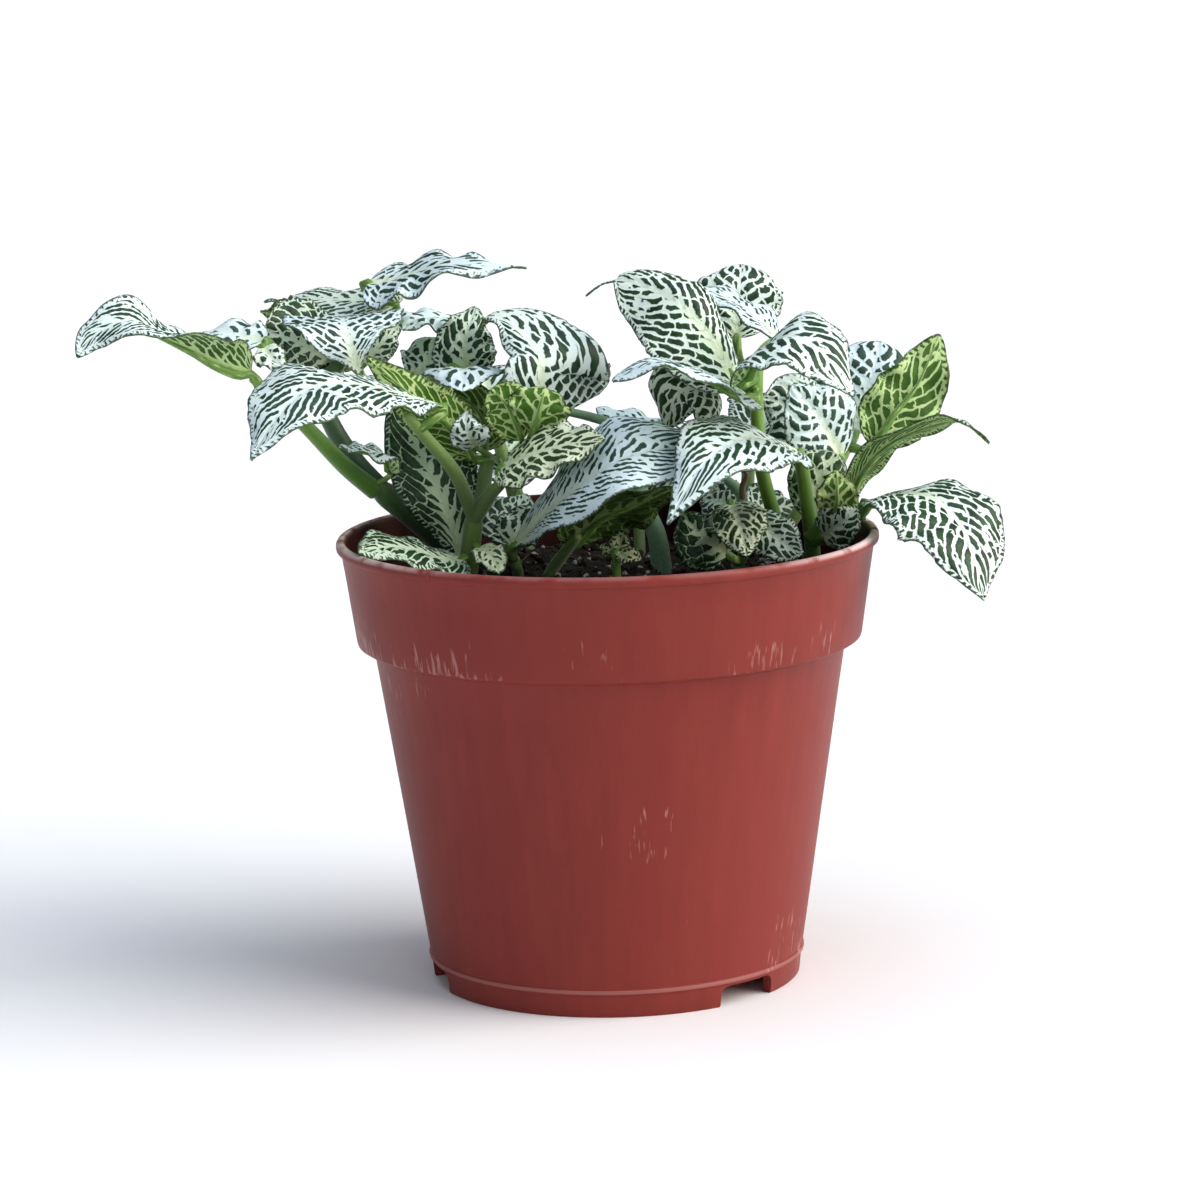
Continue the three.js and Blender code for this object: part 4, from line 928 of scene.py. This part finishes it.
def potProfile():
    # radius and height in mm: out below the base, up the outer wall, over the lip and down inside
    p = potLook
    wall, seam, shoulder, height, rim = p["wall"], p["seam"], p["shoulder"], p["height"], p["rim"]
    foot, inner = p["foot"], p["foot"] - p["footWall"]
    body, top = p["bodyFoot"], p["bodyTop"]
    collar, collarFoot, collarTop = p["collarFoot"], p["collarFootHeight"], p["collarTop"]
    lip = height - p["lipHeight"]
    base = seam + wall
    return [
        (0, seam), (inner - 0.3, seam), (inner, 0.3), (inner + 0.3, 0), (foot - 0.4, 0), (foot, 0.4),
        # parting line
        (body - 0.25, seam - 0.9), (body + 0.3, seam - 0.4), (body + 0.42, seam), (body + 0.3, seam + 0.45),
        (body + 0.08, seam + 0.8), *((body + out, level) for out, level in p["flare"]),
        # shoulder and collar
        (top, shoulder - 0.3), (top + 0.25, shoulder), (top + 0.7, shoulder + 0.15),
        (collar - 0.7, collarFoot - 0.75), (collar - 0.15, collarFoot - 0.4),
        (collar + 0.02, collarFoot + 0.1), (collar + 1.05, 90.5), (collar + 2.1, 98), (collarTop, lip - 0.25),
        # lip
        (collarTop + 0.25, lip), (rim - 0.45, lip + 0.1), (rim - 0.1, lip + 0.45), (rim, lip + 1.0),
        (rim - 0.05, height - 0.9), (rim - 0.4, height - 0.3), (rim - 0.95, height),
        (rim - 1.6, height - 0.05), (rim - 2.15, height - 0.4), (rim - 2.45, height - 1.1),
        # inner wall
        (collarTop - wall, height - 3.2), (collar - wall + 1.3, 95), (collar - wall, collarFoot + 1.4),
        (top - wall + 0.2, shoulder - 0.2), (top - wall, shoulder - 1.2), (body - wall + 5.5, 44),
        (body - wall + 0.1, base + 1.2), (body - wall - 1.2, base), (0, base),
    ]


def spinProfile(profile, steps):
    # a closed form turned round the pot's axis from radius and height in mm
    bm = bmesh.new()
    points = [bm.verts.new(scenePlace((radius, 0, height))) for radius, height in profile]
    edges = [bm.edges.new(pair) for pair in zip(points, points[1:])]
    bmesh.ops.spin(bm, geom=points + edges, cent=potAxis, axis=(0, 0, 1), dvec=(0, 0, 0),
                   angle=math.tau, steps=steps, use_merge=True, use_duplicate=False)
    bmesh.ops.remove_doubles(bm, verts=bm.verts, dist=1e-6)
    return bm


def makePot():
    bm = spinProfile(potProfile(), potLook["steps"])
    bmesh.ops.recalc_face_normals(bm, faces=bm.faces)
    pot = pieceFrom("nurseryPot", bm, [potMaterial()])
    cutter = pieceFrom("potCutter", potCutters(), [])
    cut = pot.modifiers.new("openings", "BOOLEAN")
    cut.operation = "DIFFERENCE"
    cut.solver = "EXACT"
    cut.object = cutter
    depsgraph = bpy.context.evaluated_depsgraph_get()
    carved = bpy.data.meshes.new_from_object(pot.evaluated_get(depsgraph))
    pot.modifiers.clear()
    pot.data = carved
    bpy.data.objects.remove(cutter)
    for polygon in carved.polygons:
        polygon.use_smooth = True
    carved.set_sharp_from_angle(angle=math.radians(potLook["sharpFrom"]))
    standFor(pot, "pot")


def potCutters():
    # round drain holes in the base and round-cornered notches in the foot ring
    p = potLook
    bm = bmesh.new()
    for i in range(p["drains"]):
        angle = i * math.tau / p["drains"]
        x, y = p["drainCircle"] * math.cos(angle), p["drainCircle"] * math.sin(angle)
        place = Matrix.Translation(scenePlace((x, y, p["seam"] + 1)))
        bmesh.ops.create_cone(bm, cap_ends=True, segments=28, radius1=p["drainRadius"] * mm,
                              radius2=p["drainRadius"] * mm, depth=p["cutDepth"] * mm, matrix=place)
    for turn in p["notches"]:
        size = Matrix.Diagonal((p["notchWidth"] * mm, p["cutDepth"] * mm, 2 * p["notchHeight"] * mm, 1))
        stand = Matrix.Translation(potAxis) @ Matrix.Rotation(math.radians(turn), 4, "Z")
        place = stand @ Matrix.Translation(Vector((0, -(p["foot"] - 4) * mm, 0))) @ size
        box = bmesh.ops.create_cube(bm, size=1, matrix=place)["verts"]
        top = max(vert.co.z for vert in box)
        # the two upper edges that run through the wall
        across = [edge for edge in {e for v in box for e in v.link_edges}
                  if all(abs(v.co.z - top) < 1e-6 for v in edge.verts)
                  and edge.calc_length() < 0.9 * p["notchWidth"] * mm]
        bmesh.ops.bevel(bm, geom=across, offset=p["notchRound"] * mm, offset_type="OFFSET", affect="EDGES",
                        segments=5, profile=0.5, material=-1)
    bmesh.ops.recalc_face_normals(bm, faces=bm.faces)
    return bm


def potMaterial():
    p = potLook
    material, add = newMaterial("mouldedPolypropylene")
    own = add("VectorMath", [add("TexCoord").outputs["Object"], potAxis], operation="SUBTRACT")
    split = add("SeparateXYZ", [own]).outputs
    stretch = add("VectorMath", [own, p["flow"]], operation="MULTIPLY")
    streak = add("TexNoise", {"Vector": stretch, "Scale": 1.0, "Detail": 3.0, "Roughness": 0.55})
    # clouds of tone about 45 mm wide
    cloud = add("TexNoise", {"Vector": own, "Scale": 22.0, "Detail": 3.0})
    cloudShare = add("MapRange", [cloud, 0.3, 0.7, 0.25, 0.75])
    # pale scuffs, thickest along the collar's lower edge, where pots rub each other
    scratchPlace = add("VectorMath", [own, p["scratch"]], operation="MULTIPLY")
    scratch = add("TexNoise", {"Vector": scratchPlace, "Scale": 1.0, "Detail": 2.0})
    where = add("TexNoise", {"Vector": own, "Scale": 34.0, "Detail": 1.0})
    scratch = add("Math", [scratch, where], operation="MULTIPLY")
    band = add("MapRange", [split["Z"], *p["collarRub"], 0.0, 0.13], interpolation_type="SMOOTHSTEP")
    collarEnd = add("MapRange", [split["Z"], *p["collarEnd"]])
    scuff = add("Math", [band, collarEnd, scratch], operation="MULTIPLY_ADD")
    scuff = add("MapRange", [scuff, *p["scuffs"]])
    # painted highlight: the parting line above the foot is lightened in the scuff colour, as if it caught the
    # light
    seam = add("Math", [split["Z"], (p["seam"] + 0.1) * mm, 0.45 * mm], operation="COMPARE")
    seam = add("Math", [seam, 0.3], operation="MULTIPLY")
    # the lip is paler in patches about 6 mm wide, most at its far left and right: partly rubbed wear, partly
    # a painted highlight
    high = add("MapRange", [split["Z"], *p["lipTopBand"]], interpolation_type="SMOOTHSTEP")
    patches = add("TexNoise", {"Vector": own, "Scale": 160.0, "Detail": 4.0})
    patches = add("MapRange", [patches, *p["lipPalePatches"]])
    sideways = add("MapRange", [add("Math", [split["X"]], operation="ABSOLUTE"), *p["lipPaleSides"]])
    lip = add("Math", [patches, sideways], operation="MULTIPLY")
    lip = add("Math", [lip, high], operation="MULTIPLY")
    # painted shade: the inner wall above the soil is darkened, as it lies in shade inside the pot
    flat = add("VectorMath", [own, (1.0, 1.0, 0.0)], operation="MULTIPLY")
    fromAxis = add("VectorMath", [flat], operation="LENGTH")
    inside = add("Math", [split["Z"], -p["innerFlare"], fromAxis], operation="MULTIPLY_ADD")
    inside = add("MapRange", [inside, *p["innerWall"]])
    above = add("MapRange", [split["Z"], *p["innerShadeRise"]])
    innerShadeShare = add("Math", [inside, above], operation="MULTIPLY")
    colour = p["deep"]
    for share, tint in ((streak, "warm"), (cloudShare, "base"), (scuff, "scuff"), (seam, "scuff"),
                        (lip, "lip"), (innerShadeShare, "innerShade")):
        colour = add("Mix", {"Factor": share, "A": colour, "B": p[tint]}, data_type="RGBA")
    gloss = add("MapRange", [cloud, 0.0, 1.0, p["roughness"] - 0.06, p["roughness"] + 0.12])
    # orange peel about 0.7 mm wide
    skin = add("TexNoise", {"Vector": own, "Scale": 1400.0, "Detail": 1.0})
    relief = add("Math", [streak, 1.4, skin], operation="MULTIPLY_ADD")
    bump = add("Bump", {"Height": relief, "Strength": 0.16, "Distance": 0.0002})
    surface = add("BsdfPrincipled", {"Base Color": colour, "Roughness": gloss, "Normal": bump, "IOR": 1.49,
                                     "Specular IOR Level": p["specular"]})
    add("OutputMaterial", {"Surface": surface})
    return material


# Potting mix: milled black peat with white perlite and root fibres, moist and matt.
soilLook = {
    # darker tone, lighter tone, roughness and size of grain in mm
    "peat": ("#16120f", "#2e2620", 0.95, 4.0),
    "crumb": ("#1d1713", "#4a3d31", 0.9, 2.0),
    "perlite": ("#8f8d88", "#b9b6ae", 0.85, 1.0),
    "fibre": ("#5a4632", "#a08a68", 0.8, 3.0),
    "height": 96.0,
    "brim": 60.2,
    "foot": 9.0,
    "wall": ((43.2, 9.0), (54.2, 80.4), (58.3, 85.6)),  # radius and height, within the pot's inner wall
    "rings": 72,
    "steps": 180,
    "grains": 1100,
    "spilt": 60,
    "heap": (42, 22),  # where the spilt perlite lies
    "heapSpread": 2.4,
    "perliteSize": (0.35, 1.0),
    "crumbSize": (0.5, 1.6),
    "fibres": 70,
    "fibreLength": (4, 12),
    "fibreRadius": 0.16,
    "seed": 11,
}


def soilTop(x, y):
    # height of the soil's surface: low swells, then lumps of a few mm, then clods
    swell = math.sin(x * 0.13 + 1) * math.cos(y * 0.11 - 0.4) + 0.5 * math.sin(x * 0.31 - y * 0.27)
    rough = noise.fractal(Vector((x, y, 3)) * 0.22, 1.0, 2.0, 4) * 1.1
    clod = noise.noise(Vector((x, y, 9)) * 0.7) * 0.5
    return soilLook["height"] + 1.1 * swell + rough + clod


def crumbMaterial(name, kind):
    # a matt broken surface: two tones mottled at the size of its grain
    dark, light, roughness, grain = soilLook[kind]
    material, add = newMaterial(name)
    place = add("TexCoord").outputs["Object"]
    mottle = add("TexNoise", {"Vector": place, "Scale": 1000 / grain, "Detail": 5.0, "Roughness": 0.7})
    share = add("MapRange", [mottle, 0.35, 0.7])
    colour = add("Mix", {"Factor": share, "A": dark, "B": light}, data_type="RGBA")
    bump = add("Bump", {"Height": mottle, "Strength": 0.8, "Distance": 0.0006})
    surface = add("BsdfPrincipled", {"Base Color": colour, "Roughness": roughness, "Normal": bump,
                                     "Specular IOR Level": 0.25})
    add("OutputMaterial", {"Surface": surface})
    return material


def scatter(chance, reach):
    radius = reach * math.sqrt(chance.random())
    angle = chance.random() * math.tau
    return radius * math.cos(angle), radius * math.sin(angle)


def soilBody():
    s = soilLook
    surface = [(s["brim"] * (s["rings"] - i) / s["rings"], s["height"]) for i in range(s["rings"] + 1)]
    bm = spinProfile([(0, s["foot"]), *s["wall"], (s["brim"], s["height"] - 1.2), *surface], s["steps"])
    for vert in bm.verts:
        if vert.co.z > (s["height"] - 0.5) * mm:
            x, y = (vert.co.x - potAxis.x) / mm, (vert.co.y - potAxis.y) / mm
            vert.co.z = soilTop(x, y) * mm
    bmesh.ops.recalc_face_normals(bm, faces=bm.faces)
    return pieceFrom("pottingSoil", bm, [crumbMaterial("milledPeat", "peat")])


def soilGrains(chance):
    s = soilLook
    bm = bmesh.new()
    for i in range(s["grains"] + s["spilt"]):
        x, y = scatter(chance, s["brim"] - 1.5)
        white = chance.random() < 0.3
        if i >= s["grains"]:
            x, y = (middle + chance.gauss(0, s["heapSpread"]) for middle in s["heap"])
            white = chance.random() < 0.8
        size = chance.uniform(*(s["perliteSize"] if white else s["crumbSize"]))
        stretch = Matrix.Diagonal((size, size * chance.uniform(0.6, 1), size * chance.uniform(0.5, 0.9), 1))
        axis = (chance.random(), chance.random(), chance.random())
        turn = Quaternion(axis, chance.uniform(0, 6)).to_matrix().to_4x4()
        place = Matrix.Translation(scenePlace((x, y, soilTop(x, y) + size * 0.25))) @ turn @ stretch
        verts = bmesh.ops.create_icosphere(bm, subdivisions=1, radius=mm, matrix=place)["verts"]
        for vert in verts:
            vert.co += Vector([chance.uniform(-1, 1) for _ in range(3)]) * size * 0.22 * mm
        for face in {face for vert in verts for face in vert.link_faces}:
            face.material_index = 1 if white else 0
    finishes = [crumbMaterial("peatCrumb", "crumb"), crumbMaterial("perliteGrain", "perlite")]
    return pieceFrom("soilGrains", bm, finishes, smooth=False)


def soilFibres(chance):
    s = soilLook
    bm = bmesh.new()
    for _ in range(s["fibres"]):
        x, y = scatter(chance, s["brim"] - 8)
        heading = chance.random() * math.tau
        length = chance.uniform(*s["fibreLength"])
        path = []
        for arch in (0.1, 0.9, 1.2, 0.1):
            heading += chance.uniform(-0.7, 0.7)
            lift = arch * chance.uniform(0.4, 1.3)
            path.append((x, y, soilTop(x, y) + lift))
            x += math.cos(heading) * length / 3
            y += math.sin(heading) * length / 3
            if math.hypot(x, y) > s["brim"] - 2:
                x, y = x * 0.92, y * 0.92
        addTube(bm, partial(curveAt, path), lambda share: s["fibreRadius"] * (1.1 - share), 7, 5, 0)
    return pieceFrom("soilFibres", bm, [crumbMaterial("rootFibre", "fibre")])


def makeSoil():
    chance = random.Random(soilLook["seed"])
    for piece in (soilBody(), soilGrains(chance), soilFibres(chance)):
        standFor(piece, "soil")


# the whole plant, stage by stage
makeCamera()
makeFloor()
makeLights()
print("stage: camera, floor and lights")
makePot()
print("stage: pot")
makeSoil()
print("stage: soil")
leafFinishes = [netMaterial("netLeafUpper", netLook), netMaterial("netLeafUnder", underLook), stalkMaterial()]
stemFinishes = [stemMaterial(kind, *colours) for kind, colours in stemLook["kinds"].items()]
for shoot in shoots:
    makeShoot(shoot, leafFinishes, stemFinishes)
print("stage: shoots")
